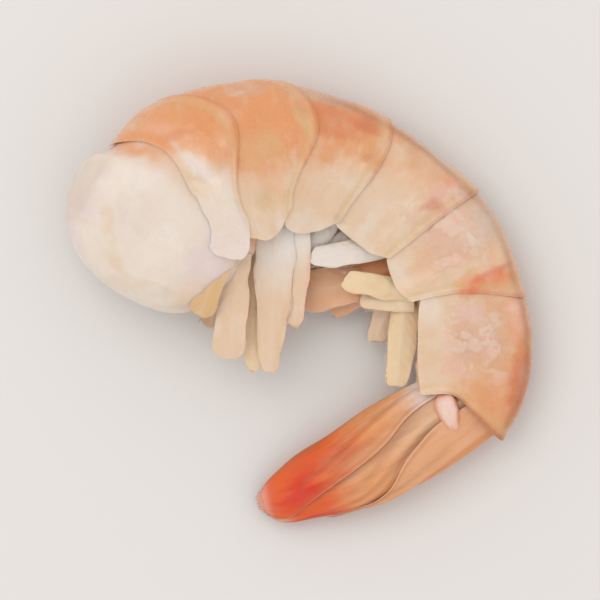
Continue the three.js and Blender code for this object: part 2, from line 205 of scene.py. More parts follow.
@dataclass(frozen=True)
class Station:
    """Where the body's middle runs, and its half sizes under the shell, at distances along its axis."""

    x: Array
    y: Array
    z: Array
    heading: Array
    half_height: Array
    half_width: Array
    back_growth: Array | float = 0.0

    def place(self, up: Array, across: Array, floor: Array) -> Array:
        """Puts straightened points on the curled axis: heights along its normal, reaches along z, down to the floor.

        Args:
            up: Heights towards the back.
            across: Reaches towards the upper flank.
            floor: The lowest z that a point may have.

        Returns:
            Points, three values on the last axis.
        """
        up = up * np.where(up > 0, 1 + self.back_growth / self.half_height, 1)
        return grid(self.x - np.sin(self.heading) * up, self.y + np.cos(self.heading) * up,
                    np.maximum(self.z + across, floor))


def along_arc(x: Array, y: Array, heading: Array, bend: Array, distance: Array) -> tuple[Array, Array, Array]:
    """A point and heading that far along a circular arc: the chord is the arc times sine of half the turn over it.

    Args:
        x: The arc's start.
        y: The arc's start.
        heading: Its direction there, in radians.
        bend: Turn for each millimetre, in radians.
        distance: How far along.

    Returns:
        The new x, y and heading.
    """
    turn = -bend * distance
    chord = distance * np.sinc(turn / 2 / np.pi)
    direction = heading + turn / 2
    return x + chord * np.cos(direction), y + chord * np.sin(direction), heading + turn


@dataclass(frozen=True)
class Body:
    """The curled axis, the oval section of the body under its shell, and the tail fan's own axis."""

    lengths: tuple[float, ...] = (5.2, 8.6, 9.3, 10.3, 10.4, 14.1)
    curls: tuple[float, ...] = (12, 30.5, 30, 27, 27.5, 35)
    first: Spot = (-13.83, 10.36, 48.6)
    half_heights: tuple[float, ...] = (11.5, 10.6, 8.8, 7.15, 6.7, 7.1, 7.1)
    width_shares: tuple[float, ...] = (0.62, 0.66, 0.68, 0.68, 0.65, 0.57, 0.48)
    back_growth: Knots = (
        (-12.3, 0.4), (-10, 0.8), (-7, 1.2), (-4, 1.4), (0, 1.15), (6, 1.1), (10, 0.7), (14, 0.35), (18, 0),
        (24, -0.15), (31, 0), (36, 0.5), (40, 0.35), (43, 0), (46, 0.45), (52, 0.8), (55, 0.6), (58.5, 0))
    stub_length: float = 12.3
    stub_curl: float = 13
    lift: float = 0.86
    outermost: float = 1.72
    flat_depth: float = 0.35
    squareness: float = 2.3
    fan_length: float = 25.6
    fan_turn: float = 29.0
    fan_curl: float = 27.0

    @cached_property
    def joints(self) -> Array:
        """Rows of distance, x, y and heading at each joint: each ring's arc starts where the one before ends."""
        rows = [(0.0, self.first[0], self.first[1], np.radians(self.first[2]))]
        for length, curl in zip(self.lengths, self.curls):
            s, x, y, heading = rows[-1]
            rows.append((s + length, *along_arc(x, y, heading, np.radians(curl) / length, length)))
        return np.array(rows)

    @property
    def length(self) -> float:
        """Length of the six rings together."""
        return float(self.joints[-1, 0])

    def station(self, s: Array) -> Station:
        """Reads the axis, one arc to a ring, and the half sizes: smooth curves through one value at each joint.

        Args:
            s: Distances from the first joint; negative ones run into the bare stub.

        Returns:
            The station at each distance.
        """
        ring = np.searchsorted(self.joints[1:6, 0], s, side="left")
        distance = s - self.joints[ring, 0]
        length = np.array(self.lengths)[ring]
        bend = np.where(s < 0, np.radians(self.stub_curl) / self.stub_length,
                        np.radians(np.array(self.curls)[ring]) / length)
        x, y, heading = along_arc(*np.moveaxis(self.joints[ring, 1:], -1, 0), bend, distance)
        joint = ring + distance / length
        height = even(self.half_heights, joint)
        half_width = height * even(self.width_shares, joint) - self.lift
        return Station(x, y, half_width + self.outermost - self.flat_depth, heading, height - self.lift, half_width,
                       through(self.back_growth, s))

    def oval(self, a: Array, b: Array, angle: Array) -> tuple[Array, Array]:
        """The section at angles from the back: a superellipse, a little wider towards the back.

        Args:
            a: Half height.
            b: Half width.
            angle: Radians from the back, towards the upper flank.

        Returns:
            Heights and reaches.
        """
        c, s = np.cos(angle), np.sin(angle)
        reach = (np.abs(c) ** self.squareness + np.abs(s) ** self.squareness) ** (-1 / self.squareness)
        return a * c * reach, b * s * reach * (1 + 0.05 * c)

    def first_edge(self, side: Array) -> Array:
        """The first ring's front edge, which curves back on the flank, at shares of the way round from the back."""
        side = np.clip(side, 0, 1)
        return 3.2 * np.sin(side * np.pi) ** 2 - 1.4 * ramp(side, 0.7, 1.0)

    def fan_axis(self, distance: Array) -> tuple[Array, Array, Array]:
        """Reads the tail fan's axis, which turns away from the last ring and curls on.

        Args:
            distance: How far along the fan.

        Returns:
            The x, y and heading there.
        """
        _, x, y, heading = self.joints[-1]
        bend = np.radians(self.fan_curl) / self.fan_length
        return along_arc(x, y, heading - np.radians(self.fan_turn), bend, distance)


BODY = Body()


class Slot(Enum):
    """The record's material slots."""

    FLESH = "flesh"
    SHELL = "shell"
    LEG = "leg"
    TAIL = "tail"


@dataclass(frozen=True)
class Finish:
    """A wet, waxy finish: painted colour with mottling and pigment specks, light under the skin and a thin gloss."""

    slot: Slot
    roughness: tuple[float, float] = (0.28, 0.46)
    coat: float = 0.25
    coat_roughness: float = 0.16
    refraction: float = 1.42
    glow: float = 0.45
    glow_depth: float = 0.0011
    glow_colour: Spot = (1.0, 0.8, 0.66)
    mottle: float = 0.5
    mottle_size: float = 900.0
    bloom: float = 0.5
    specks: float = 0.0
    speck_size: float = 4200.0
    speck_colour: Spot = (0.62, 0.13, 0.035)
    grain: Spot = (300.0, 1500.0, 1500.0)
    grain_depth: float = 0.00003
    dimple_depth: float = 0.00003

    @cached_property
    def material(self) -> bpy.types.Material:
        """The node tree, made once."""
        made = bpy.data.materials.new(f"cooked_{self.slot.value}")
        made.use_nodes = True
        nodes, links = made.node_tree.nodes, made.node_tree.links
        shader = nodes["Principled BSDF"]

        def node(kind: str, output: str | int, inputs: dict, **settings: str) -> Socket:
            """Adds a node.

            Args:
                kind: Its type, without the part that all types share.
                output: Which output is wanted.
                inputs: For each input a socket to link or a plain value.
                settings: The node's own settings.

            Returns:
                The output's socket.
            """
            new = nodes.new("ShaderNode" + kind)
            for key, value in settings.items():
                setattr(new, key, value)
            for key, value in inputs.items():
                if isinstance(value, Socket):
                    links.new(value, new.inputs[key])
                else:
                    new.inputs[key].default_value = value
            return new.outputs[output]

        def noise(where: Socket, scale: float, detail: float, blur: float) -> Socket:
            """Noise of a size, with its detail and how rough the detail is."""
            return node("TexNoise", "Fac", {"Vector": where, "Scale": scale, "Detail": detail, "Roughness": blur})

        def spread(value: Socket, old: tuple[float, float], new: tuple[float, float]) -> Socket:
            """Stretches a range to another one."""
            return node("MapRange", "Result", {"Value": value, "From Min": old[0], "From Max": old[1],
                                               "To Min": new[0], "To Max": new[1]})

        def over(amount: Socket, under: Socket, colour: Spot, kind: str) -> Socket:
            """Lays a plain colour over another by an amount."""
            return node("Mix", "Result", {"Factor": amount, "A": under, "B": (*colour, 1)},
                        data_type="RGBA", blend_type=kind)

        place = node("TexCoord", "Object", {})
        body = node("Attribute", "Vector", {}, attribute_name="straight")
        grain = noise(node("VectorMath", 0, {0: body, 1: self.grain}, operation="MULTIPLY"), 1.0, 3.0, 0.6)
        blotch = noise(place, self.mottle_size, 5.0, 0.62)
        dapple = noise(place, self.mottle_size * 0.31, 3.0, 0.5)

        colour = node("Attribute", "Color", {}, attribute_name="paint")
        colour = over(spread(blotch, (0.42, 0.72), (0.0, self.mottle)), colour, (0.93, 0.80, 0.70), "MULTIPLY")
        colour = over(spread(dapple, (0.52, 0.75), (0.0, self.mottle * self.bloom)), colour, (0.86, 0.83, 0.80),
                      "SCREEN")
        colour = over(spread(grain, (0.5, 0.75), (0.0, self.mottle * 0.6)), colour, (0.90, 0.78, 0.66), "MULTIPLY")
        if self.specks:
            cells = node("TexVoronoi", "Distance", {"Vector": place, "Scale": self.speck_size})
            patches = spread(noise(place, self.mottle_size * 0.6, 2.0, 0.5), (0.45, 0.62), (0.0, self.specks))
            dots = node("Math", 0, {0: spread(cells, (0.34, 0.2), (0.0, 1.0)), 1: patches}, operation="MULTIPLY")
            speckle = node("Attribute", "Fac", {}, attribute_name="speckle")
            colour = over(node("Math", 0, {0: dots, 1: speckle}, operation="MULTIPLY"), colour, self.speck_colour,
                          "MIX")
        links.new(colour, shader.inputs["Base Color"])
        links.new(spread(blotch, (0.35, 0.7), self.roughness), shader.inputs["Roughness"])

        fine = node("Bump", "Normal", {"Strength": 1.0, "Distance": self.grain_depth, "Height": grain})
        relief = node("Bump", "Normal", {"Strength": 1.0, "Distance": self.dimple_depth, "Height": blotch,
                                         "Normal": fine})
        links.new(relief, shader.inputs["Normal"])
        for name, value in (("IOR", self.refraction), ("Coat Weight", self.coat),
                            ("Coat Roughness", self.coat_roughness), ("Subsurface Weight", self.glow),
                            ("Subsurface Radius", self.glow_colour), ("Subsurface Scale", self.glow_depth)):
            shader.inputs[name].default_value = value
        return made


FLESH = Finish(Slot.FLESH, roughness=(0.4, 0.56), coat=0.12, glow=0.8, glow_depth=0.0016, mottle=0.15,
               grain=(260.0, 1300.0, 1300.0), grain_depth=0.00004)
SHELL = Finish(Slot.SHELL, roughness=(0.24, 0.42), coat=0.35, coat_roughness=0.1, glow=0.4, glow_depth=0.00035,
               mottle=0.25, specks=0.3, grain=(1500.0, 420.0, 420.0))
LEG = Finish(Slot.LEG, roughness=(0.34, 0.52), coat=0.15, glow=0.35, glow_depth=0.0003, mottle=0.2,
             grain=(420.0, 2600.0, 420.0), grain_depth=0.00004)
TAIL = Finish(Slot.TAIL, roughness=(0.36, 0.52), coat=0.12, glow=0.2, glow_depth=0.00035, mottle=0.22, bloom=0.15,
              specks=0.4, grain=(260.0, 2300.0, 260.0))


class Draft:
    """Collects closed surfaces and writes them as one mesh object."""

    def __init__(self) -> None:
        """Starts empty."""
        self.coats: list[Array] = []
        self.faces: list[Array] = []
        self.count = 0

    def add(self, part: Array, faces: list[Array]) -> None:
        """Adds one closed surface, turned so that its faces point outwards.

        Args:
            part: Its rows of ten numbers, in any grid.
            faces: Corner numbers, one array for each number of corners.
        """
        flat = part.reshape(-1, ROW)
        volume = 0.0
        for block in faces:
            corners = flat[block, :3]
            for k in range(1, block.shape[1] - 1):
                volume += np.einsum("ij,ij->", corners[:, 0], np.cross(corners[:, k], corners[:, k + 1]))
        self.faces += [(block if volume > 0 else block[:, ::-1]) + self.count for block in faces]
        self.coats.append(flat)
        self.count += len(flat)

    def plate(self, outer: Array, inner: Array) -> None:
        """Adds a thin plate: two grids of the same size, joined by a rim of quads all round.

        Args:
            outer: The outside's rows.
            inner: The inside's rows.
        """
        rows, columns = outer.shape[:2]
        count = rows * columns
        index = np.arange(count).reshape(rows, columns)
        top = np.stack([index[:-1, :-1], index[:-1, 1:], index[1:, 1:], index[1:, :-1]], -1).reshape(-1, 4)
        edge = np.concatenate([index[0, :-1], index[:-1, -1], index[-1, :0:-1], index[:0:-1, 0]])
        rim = np.stack([np.roll(edge, -1), edge, edge + count, np.roll(edge, -1) + count], -1)
        self.add(np.stack([outer, inner]), [np.concatenate([top, (top + count)[:, ::-1], rim])])

    def tube(self, part: Array) -> None:
        """Adds a closed tube, with a fan of triangles on the end row's middle at each end.

        Args:
            part: Its rows, in a grid of steps along it and points round it.
        """
        rows, columns = part.shape[:2]
        index = np.arange(rows * columns).reshape(rows, columns)
        after = np.roll(index, -1, axis=1)
        sides = np.stack([index[:-1], after[:-1], after[1:], index[1:]], -1).reshape(-1, 4)
        caps = [np.stack([np.full(columns, rows * columns), after[0], index[0]], -1),
                np.stack([np.full(columns, rows * columns + 1), index[-1], after[-1]], -1)]
        middles = part[[0, -1]].mean(axis=1)
        self.add(np.concatenate([part.reshape(-1, ROW), middles]), [sides, np.concatenate(caps)])

    def strands(self, roots: Array, tips: Array, sag: Array, radius: float, paint: Array) -> None:
        """Adds tapering hairs: each a bent path from root to tip, carried by a three-sided section.

        Args:
            roots: Where the hairs start.
            tips: Where they end.
            sag: How far each hair's middle is bent away from the straight line.
            radius: Half thickness at the root.
            paint: Their linear colours.
        """
        t = np.linspace(0, 1, 5)[None, :, None, None]
        line = (tips - roots)[:, None, None, :]
        middle = roots[:, None, None, :] + line * t + sag[:, None, None, :] * 4 * t * (1 - t)
        side = np.cross(line, np.array([0.0, 0.0, 1.0]))
        side /= np.linalg.norm(side, axis=-1, keepdims=True) + 1e-9
        top = np.cross(side, line)
        top /= np.linalg.norm(top, axis=-1, keepdims=True) + 1e-9
        turn = (np.arange(3) * 2 * np.pi / 3)[None, None, :, None]
        points = middle + radius * (1 - 0.85 * t) * (side * np.cos(turn) + top * np.sin(turn))
        index = np.arange(points[..., 0].size).reshape(points.shape[:3])
        after = np.roll(index, -1, axis=2)
        sides = np.stack([index[:, :-1], after[:, :-1], after[:, 1:], index[:, 1:]], -1).reshape(-1, 4)
        caps = np.concatenate([index[:, 0, ::-1], index[:, -1]])
        self.add(coat(points, points, paint[:, None, None, :]), [sides, caps])

    def build(self, name: str, finish: Finish, node: str) -> Piece:
        """Writes the mesh, dresses it and ties it to the frame.

        Args:
            name: The piece's name.
            finish: The finish that dresses it.
            node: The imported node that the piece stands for.

        Returns:
            The new object.
        """
        whole = np.concatenate(self.coats)
        sizes = np.concatenate([np.full(len(block), block.shape[1]) for block in self.faces])
        corners = np.concatenate([block.ravel() for block in self.faces])
        mesh = bpy.data.meshes.new(name)
        mesh.vertices.add(len(whole))
        mesh.vertices.foreach_set("co", (whole[:, :3] * MM).ravel())
        mesh.loops.add(len(corners))
        mesh.loops.foreach_set("vertex_index", corners)
        mesh.polygons.add(len(sizes))
        mesh.polygons.foreach_set("loop_start", np.concatenate([[0], np.cumsum(sizes)[:-1]]))
        mesh.polygons.foreach_set("use_smooth", np.ones(len(sizes), bool))
        mesh.update(calc_edges=True)
        colours = np.column_stack([np.clip(whole[:, 6:9], 0, 1), np.ones(len(whole))])
        for key, kind, field, values in (("paint", "FLOAT_COLOR", "color", colours),
                                         ("straight", "FLOAT_VECTOR", "vector", whole[:, 3:6] * MM),
                                         ("speckle", "FLOAT", "value", whole[:, 9])):
            mesh.attributes.new(key, kind, "POINT").data.foreach_set(field, values.ravel())
        mesh.materials.append(finish.material)
        piece = bpy.data.objects.new(name, mesh)
        bpy.context.scene.collection.objects.link(piece)
        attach(piece, "root")
        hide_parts(node)
        log.info("%s: %d triangles, replaces %s", name, int(np.sum(sizes - 2)), node)
        return piece


@dataclass(frozen=True)
class Patch:
    """A soft-edged stain on the body: its middle by distance along the axis and share of the half height."""

    along: float
    height: float
    reach: tuple[float, float]
    tint: Tint
    strength: float
    lean: float = 0.0

    def layer(self, straight: Array, half_height: Array) -> Layer:
        """The stain as a layer of paint: full inside a turned, wavy oval and fading past its edge.

        Args:
            straight: Points in the straightened body.
            half_height: The body's half height at each point.

        Returns:
            The tint, and how much of it at each point.
        """
        seed = int(abs(self.along * 7 + self.height * 31)) + 11
        wave = 0.5 * rough(straight, 0.9 * max(self.reach), seed) + 0.35 * rough(straight, 0.8, seed + 3)
        dx = straight[..., 0] - self.along
        dy = straight[..., 1] - self.height * half_height
        c, s = np.cos(np.radians(self.lean)), np.sin(np.radians(self.lean))
        size = np.hypot((dx * c + dy * s) / self.reach[0], (dy * c - dx * s) / self.reach[1])
        return self.tint, self.strength * (1 - ramp(size + wave, 0.3, 1.3))


@dataclass
class Flesh:
    """The plump muscle: a bare stub that swells out of the first ring, and the body under the shell."""

    rows_in_stub: int = 110
    rows_in_body: int = 190
    columns: int = 260
    roundness: float = 2.5
    swell: float = 0.09
    lump: float = 0.03
    end_short: float = 1.5
    end_round: float = 4.5
    end_share: float = 0.88
    root_rows: int = 70
    tail_root: tuple[tuple[float, float, float, float], ...] = (
        (0.6, 4.1, 2.0, 4.0), (2.2, 3.8, 1.9, 4.0), (4.0, 3.2, 1.6, 4.0), (5.6, 2.0, 0.8, 4.0),
        (6.2, 0.02, 0.02, 4.0))
    belly_flatness: float = 0.08
    furrows: tuple[Spot, ...] = ((28, 0.2, 13), (78, 0.16, 14), (122, 0.24, 12), (158, 0.2, 11),
                                 (-52, 0.2, 13), (-105, 0.2, 13), (-150, 0.22, 12))
    patches: tuple[Patch, ...] = (
        Patch(-6.5, -0.72, (3.4, 2.2), Tint.CREAM, 0.45, -10),
        Patch(-1.5, 0.62, (2.6, 3.2), Tint.MILK, 0.7, 20),
        Patch(-5.8, 0.59, (1.6, 0.8), Tint.CREAM, 0.4, 35),
        Patch(-9.2, 0.30, (0.9, 2.2), Tint.CREAM, 0.3, -15),
        Patch(-10.9, 0.05, (1.1, 2.6), Tint.OLIVE, 0.2, 10),
        Patch(-3.0, -0.55, (3.6, 2.6), Tint.LILAC, 0.7),
        # Painted shade: these two grey patches darken the stub's top and upper flank where the light falls strongest.
        Patch(-5.0, 1.0, (5.4, 1.8), Tint.GREY, 0.35),
        Patch(-4.2, 0.4, (3.4, 2.6), Tint.GREY, 0.15))

    def make(self) -> None:
        """Builds the flesh: the oval section at each station times its share, with furrows, folds and lumps."""
        front = -BODY.stub_length * np.sin(np.linspace(np.pi / 2, 0.0, self.rows_in_stub, endpoint=False)) ** 0.8
        front[0] = -BODY.stub_length * 0.99999
        end = BODY.length - self.end_short
        s = np.concatenate([front, np.linspace(0, end, self.rows_in_body)])[:, None]
        angle = np.linspace(0, 2 * np.pi, self.columns, endpoint=False)[None, :]
        at = BODY.station(s)
        out = np.clip(-s, 0, None) / BODY.stub_length
        dome = np.clip(1 - out**self.roundness, 0, None) ** (1 / self.roundness)
        side = np.minimum(angle, 2 * np.pi - angle) / np.pi
        past = s - BODY.first_edge(side)
        swell = 1 + self.swell * mix(1, 0.5, ramp(side, 0.1, 0.4)) * (1 - ramp(past, -2.0, -0.15))
        share = dome * swell * (1 - (1 - self.end_share) * ramp(s, end - self.end_round, end) ** 2)
        up, across = BODY.oval(at.half_height * share, at.half_width * share, angle)
        up = np.where(up < 0, up * (1 - self.belly_flatness * ramp(-np.cos(angle), 0, 1)), up)
        straight = grid(s, up, across)
        relief = self.relief(straight, out, angle) / np.maximum(np.hypot(up, across) + 1e-6, 2.5)
        grow = 1 + self.lump * ramp(out, 0, 0.5) * np.sin(3 * angle + 4 * out) + relief
        points = at.place(up * grow, across * grow, BODY.outermost)
        draft = Draft()
        draft.tube(np.concatenate([coat(points, straight, self.paint(straight, at.half_height, out, past)),
                                   self.root(angle, at)]))
        draft.build("flesh_body", FLESH, "flesh")

    def root(self, angle: Array, at: Station) -> Array:
        """The flesh's drawn-in end, which runs on into the fan: ovals whose middles follow a smooth bent path.

        Args:
            angle: Radians from the back.
            at: The body's stations; the path starts from the last one.

        Returns:
            Its rows of ten numbers.
        """
        last = [float(value[-1, 0]) for value in (at.x, at.y, at.z, at.heading, at.half_height, at.half_width)]
        controls = [(*last[:4], last[4] * self.end_share, last[5] * self.end_share, 0.0)]
        for distance, high, wide, z in self.tail_root:
            x, y, heading = BODY.fan_axis(np.array(distance))
            controls.append((float(x), float(y), z, float(heading), high, wide, distance))
        step = np.linspace(0, len(self.tail_root), self.root_rows)[1:, None]
        x, y, z, heading, high, wide, distance = (even(column, step) for column in zip(*controls))
        up, across = BODY.oval(np.maximum(high, 0.01), np.maximum(wide, 0.01), angle)
        straight = grid(BODY.length + distance, up, across)
        grow = 1 + 0.05 * rough(straight, 1.6, 91)
        points = Station(x, y, z, heading, high, wide).place(up * grow, across * grow, 0.0)
        paint = painted(Tint.PINK, points, (Tint.CREAM, 0.6 * ramp(rough(straight, 1.8, 95), -0.1, 0.5)),
                        (Tint.ORANGE, 0.5 * ramp(up, 0.5, 2.6)))
        return coat(points, straight, paint, 0.2)

    def relief(self, straight: Array, out: Array, angle: Array) -> Array:
        """Heights over the smooth muscle: long furrows and creases on the stub, cross folds at the joints.

        Args:
            straight: Points in the straightened body.
            out: Share of the way out along the stub.
            angle: Radians from the back.

        Returns:
            Heights in millimetres.
        """
        s = straight[..., 0]
        turn = np.degrees((angle + np.pi) % (2 * np.pi) - np.pi)
        bare = ramp(out, 0.02, 0.25)
        wander = 9 * rough(straight * (0.5, 0.2, 0.2), 3.0, 5)
        height = np.zeros(s.shape)
        for middle, depth, width in self.furrows:
            gap = (turn - middle + wander + 180) % 360 - 180
            height -= depth * bell(gap, 0, width) * bare * (1 - ramp(out, 0.8, 1.0))
        folds = rough(straight * (1.0, 0.8, 0.8), 3.4, 21)
        creases = 1 - ramp(np.abs(rough(straight * (0.7, 1, 1), 3.0, 31)), 0.0, 0.16)
        height += bare * (0.36 * folds - 0.05 * creases)
        height += 0.16 * ramp(out, 0.6, 0.95) * rough(straight, 1.8, 41)
        for joint in BODY.joints[1:, 0]:
            height -= 0.25 * bell(s, joint, 0.8)
        belly = ramp(-np.cos(angle), 0.55, 0.95) * ramp(s, 0.0, 2.0)
        return height + belly * 0.12 * np.cos(s * 2 * np.pi / 3.1)

    def paint(self, straight: Array, half_height: Array, out: Array, past: Array) -> Array:
        """Milky flesh: lilac clouds, tan squiggles and creases on the stub, painted grey shade on its top, orange
        where the shell's back starts.

        Args:
            straight: Points in the straightened body.
            half_height: The body's half height at each point.
            out: Share of the way out along the stub.
            past: Distance past the first ring's front edge, negative in front of it.

        Returns:
            Linear colours.
        """
        height = straight[..., 1] / half_height
        squiggle = 1 - ramp(np.abs(rough(straight * (1.1, 0.5, 0.5), 5.2, 71)), 0.0, 0.1)
        where = ramp(rough(straight, 6.0, 81), -0.1, 0.4) * ramp(out, 0.25, 0.6)
        bleed = bell(past + 0.9 * rough(straight, 1.4, 87), 0.3, 1.1)
        return painted(
            Tint.FLESH, straight,
            (Tint.LILAC, 0.7 * ramp(rough(straight, 5.0, 51), 0.0, 0.6)),
            (Tint.MILK, 0.7 * ramp(rough(straight, 3.4, 61), 0.05, 0.6)),
            (Tint.CREAM, 0.5 * ramp(-height, 0.2, 0.9)),
            *(patch.layer(straight, half_height) for patch in self.patches),
            (Tint.OLIVE, 0.18 * squiggle * where),
            (Tint.ORANGE, 0.8 * bleed * ramp(height, 0.4, 0.7) * (1 - ramp(height, 0.9, 1.1))),
            (Tint.PEACH, 0.7 * ramp(straight[..., 0], 0.5, 4.0)))


@dataclass(frozen=True)
class RingGrid:
    """A ring's grid: distance along the axis, share of the way round from -1 to 1, both edges, straight points."""

    index: int
    s: Array
    side: Array
    front: Array
    rear: Array
    straight: Array
    half_height: Array

    @property
    def near(self) -> Array:
        """Distance from the rear edge."""
        return self.rear - self.s

    @property
    def height(self) -> Array:
        """Share of the body's half height."""
        return self.straight[..., 1] / self.half_height


@dataclass
class Shell:
    """The six shell rings, which overlap like roof tiles."""

    wall: float = 0.5
    rim_wall: float = 0.1
    thin_wall: float = 0.17
    thin_lift: float = 0.27
    gap: float = 0.36
    tuck: float = 1.0
    overlap: float = 0.9
    rise: float = 2.4
    bend: float = 105.0
    skirts: tuple[float, ...] = (138, 147, 162, 163, 158, 142)
    skirt_rounding: float = 15.0
    notch: Knots = ((0, 0.3), (0.28, 0.2), (0.56, -1.1), (0.74, -2.3), (0.93, -1.4), (1, -1.0))
    rows: int = 120
    columns: int = 300
    sweeps: tuple[float, ...] = (3.4, 2.6, 0.7, -0.6, -2.2, 0.0)
    under_short: float = 0.75
    back_pigment: tuple[float, ...] = (0.7, 1.0, 1.0, 0.5, 0.35, 0.8)
    pigment_reach: tuple[float, ...] = (0.7, -0.1, -0.15, 0.35, 0.5, 0.1)
    patch_range: float = 14.0
    patches: tuple[Patch, ...] = (
        Patch(3.8, 0.85, (1.1, 1.4), Tint.PINK, 0.25, 10),
        # Painted highlight: the pale milky band across the first ring's upper flank.
        Patch(4.6, 0.24, (1.1, 4.6), Tint.MILK, 0.85, 14),
        Patch(4.9, 0.15, (0.8, 3.6), Tint.LILAC, 0.35, 14),
        Patch(0.6, 1.0, (3.4, 2.0), Tint.GREY, 0.2),
        # Painted highlight: the pale pink spot between the orange bands.
        Patch(2.4, 0.62, (1.6, 1.3), Tint.PINK, 0.3, 20),
        Patch(2.6, 0.76, (2.2, 1.5), Tint.ORANGE, 0.7),
        Patch(5.6, 0.66, (2.2, 0.7), Tint.RUST, 0.3, -25),
        Patch(8.2, 0.62, (1.6, 4.4), Tint.ORANGE, 0.4, 35),
        Patch(8.2, 0.46, (1.8, 1.4), Tint.ORANGE, 0.6),
        Patch(11.4, -0.2, (1.6, 2.2), Tint.PEACH, 0.5, 20),
        Patch(11.4, 0.98, (2.2, 0.9), Tint.GREY, 0.35),
        # Painted highlight: a small white glint on the second ring's ridge.
        Patch(10.9, 0.94, (0.8, 0.25), Tint.MILK, 0.25, 15),
        Patch(10.3, -0.55, (2.0, 1.8), Tint.OLIVE, 0.5),
        Patch(12.9, 0.13, (1.2, 2.6), Tint.STRAW, 0.5, 10),
        Patch(10.8, 0.2, (2.0, 2.2), Tint.STRAW, 0.45),
        Patch(16.3, 0.55, (0.7, 3.6), Tint.STRAW, 0.75, 28),
        Patch(19.6, 0.64, (2.6, 2.2), Tint.RUST, 0.34, 10),
        Patch(22.4, 0.86, (1.6, 1.2), Tint.RUST, 0.5),
        Patch(17.6, 1.0, (3.2, 0.9), Tint.GREY, 0.5),
        Patch(16.8, 0.8, (2.6, 1.6), Tint.RUST, 0.25),
        Patch(28.0, 0.85, (3.0, 1.6), Tint.TAN, 0.4),
        Patch(23.8, 0.30, (0.8, 0.8), Tint.BARK, 0.5, 20),
        Patch(23.9, 0.28, (1.5, 1.5), Tint.ORANGE, 0.7),
        Patch(23.3, -1.0, (1.4, 0.5), Tint.GREY, 0.7, -20),
        Patch(25.9, 0.63, (1.3, 1.6), Tint.CREAM, 0.6),
        Patch(29.0, 0.75, (2.0, 1.6), Tint.PEACH, 0.7),
        Patch(32.0, 0.70, (1.4, 2.6), Tint.PINK, 0.9),
        Patch(32.9, 0.36, (1.2, 1.0), Tint.ROSE, 0.95, 40),
        Patch(31.9, 0.16, (0.5, 1.0), Tint.ROSE, 0.4, -20),
        Patch(33.6, 0.98, (0.8, 0.9), Tint.BARK, 0.55),
        Patch(33.2, 0.84, (1.0, 0.8), Tint.LILAC, 0.4),
        Patch(31.6, 0.86, (1.3, 0.9), Tint.ORANGE, 0.6),
        Patch(36.6, 0.9, (2.6, 1.7), Tint.GREY, 0.6),
        Patch(37.6, 0.55, (1.5, 1.5), Tint.LILAC, 0.5),
        Patch(36.4, 0.2, (2.4, 3.4), Tint.PINK, 0.7, 20),
        Patch(37.4, 0.34, (1.1, 1.8), Tint.MILK, 0.3, 40),
        Patch(38.4, -0.5, (3.0, 2.4), Tint.PEACH, 0.5),
        Patch(38.7, 0.2, (1.4, 1.5), Tint.PEACH, 0.7),
        Patch(38.9, 0.05, (1.2, 1.6), Tint.PINK, 0.6),
        Patch(42.5, 0.6, (1.2, 4.0), Tint.ORANGE, 1.0, 6),
        Patch(41.7, 0.62, (0.4, 2.8), Tint.ROSE, 0.5, 6),
        Patch(41.6, 0.1, (0.8, 2.0), Tint.ORANGE, 0.6, 24),
        Patch(42.5, 0.26, (1.0, 1.5), Tint.EMBER, 0.9, 20),
        Patch(42.3, 0.56, (1.1, 2.0), Tint.EMBER, 0.35, 6),
        Patch(45.4, 0.06, (1.3, 1.8), Tint.PINK, 0.9),
        Patch(46.0, 0.12, (2.4, 1.6), Tint.LILAC, 0.5),
        Patch(48.6, 0.0, (2.4, 2.6), Tint.PINK, 0.6),
        Patch(48.0, 0.0, (2.2, 2.4), Tint.PEACH, 0.5),
        Patch(49.4, -0.06, (1.6, 1.6), Tint.ROSE, 0.25),
        Patch(49.1, 0.32, (1.8, 1.0), Tint.PINK, 0.85),
        Patch(52.3, -0.2, (1.5, 1.4), Tint.PINK, 0.7),
        Patch(52.6, 1.0, (4.4, 1.4), Tint.RUST, 0.6),
        Patch(46.4, 0.9, (2.6, 1.4), Tint.PINK, 0.55),
        Patch(56.0, 0.37, (2.2, 3.4), Tint.ORANGE, 0.85),
        Patch(49.9, -0.7, (3.4, 1.5), Tint.STRAW, 0.25))

    def make(self) -> None:
        """Builds all six rings, head end first."""
        for index in range(6):
            self.ring(index)

    def sweep(self, index: int, side: Array) -> Array:
        """How far a ring's rear edge bows along the body on the flank, from its straight cross line.

        The bow is the ring's sweep times the squared sine of the way round, less on the hidden flank, and for the
        fifth ring the sweep times a smooth step down the flank.

        Args:
            index: Which ring, 0 at the head end.
            side: Share of the way round, from -1 to 1.

        Returns:
            Distances along the axis.
        """
        if index == 4:
            return self.sweeps[4] * ramp(np.abs(side), 0.1, 0.7)
        under = 1 - self.under_short * ramp(-side, 0.1, 0.5)
        return self.sweeps[index] * under * np.sin(np.abs(side) * np.pi) ** 2

    def edges(self, index: int, side: Array) -> tuple[Array, Array]:
        """Where a ring starts and ends: each edge lies at its joint, moved by the tuck or overlap and by the bow.

        Args:
            index: Which ring, 0 at the head end.
            side: Share of the way round, from -1 to 1.

        Returns:
            Distances of the front and rear edges along the axis.
        """
        flank = np.sin(np.abs(side) * np.pi) ** 2
        end = BODY.joints[index + 1, 0]
        front = (BODY.first_edge(np.abs(side)) if index == 0
                 else BODY.joints[index, 0] - self.tuck + self.sweep(index - 1, side))
        if index == 5:
            return front, end + through(self.notch, np.abs(side))
        return front, end + self.overlap * (1 + 0.5 * flank) + self.sweep(index, side)

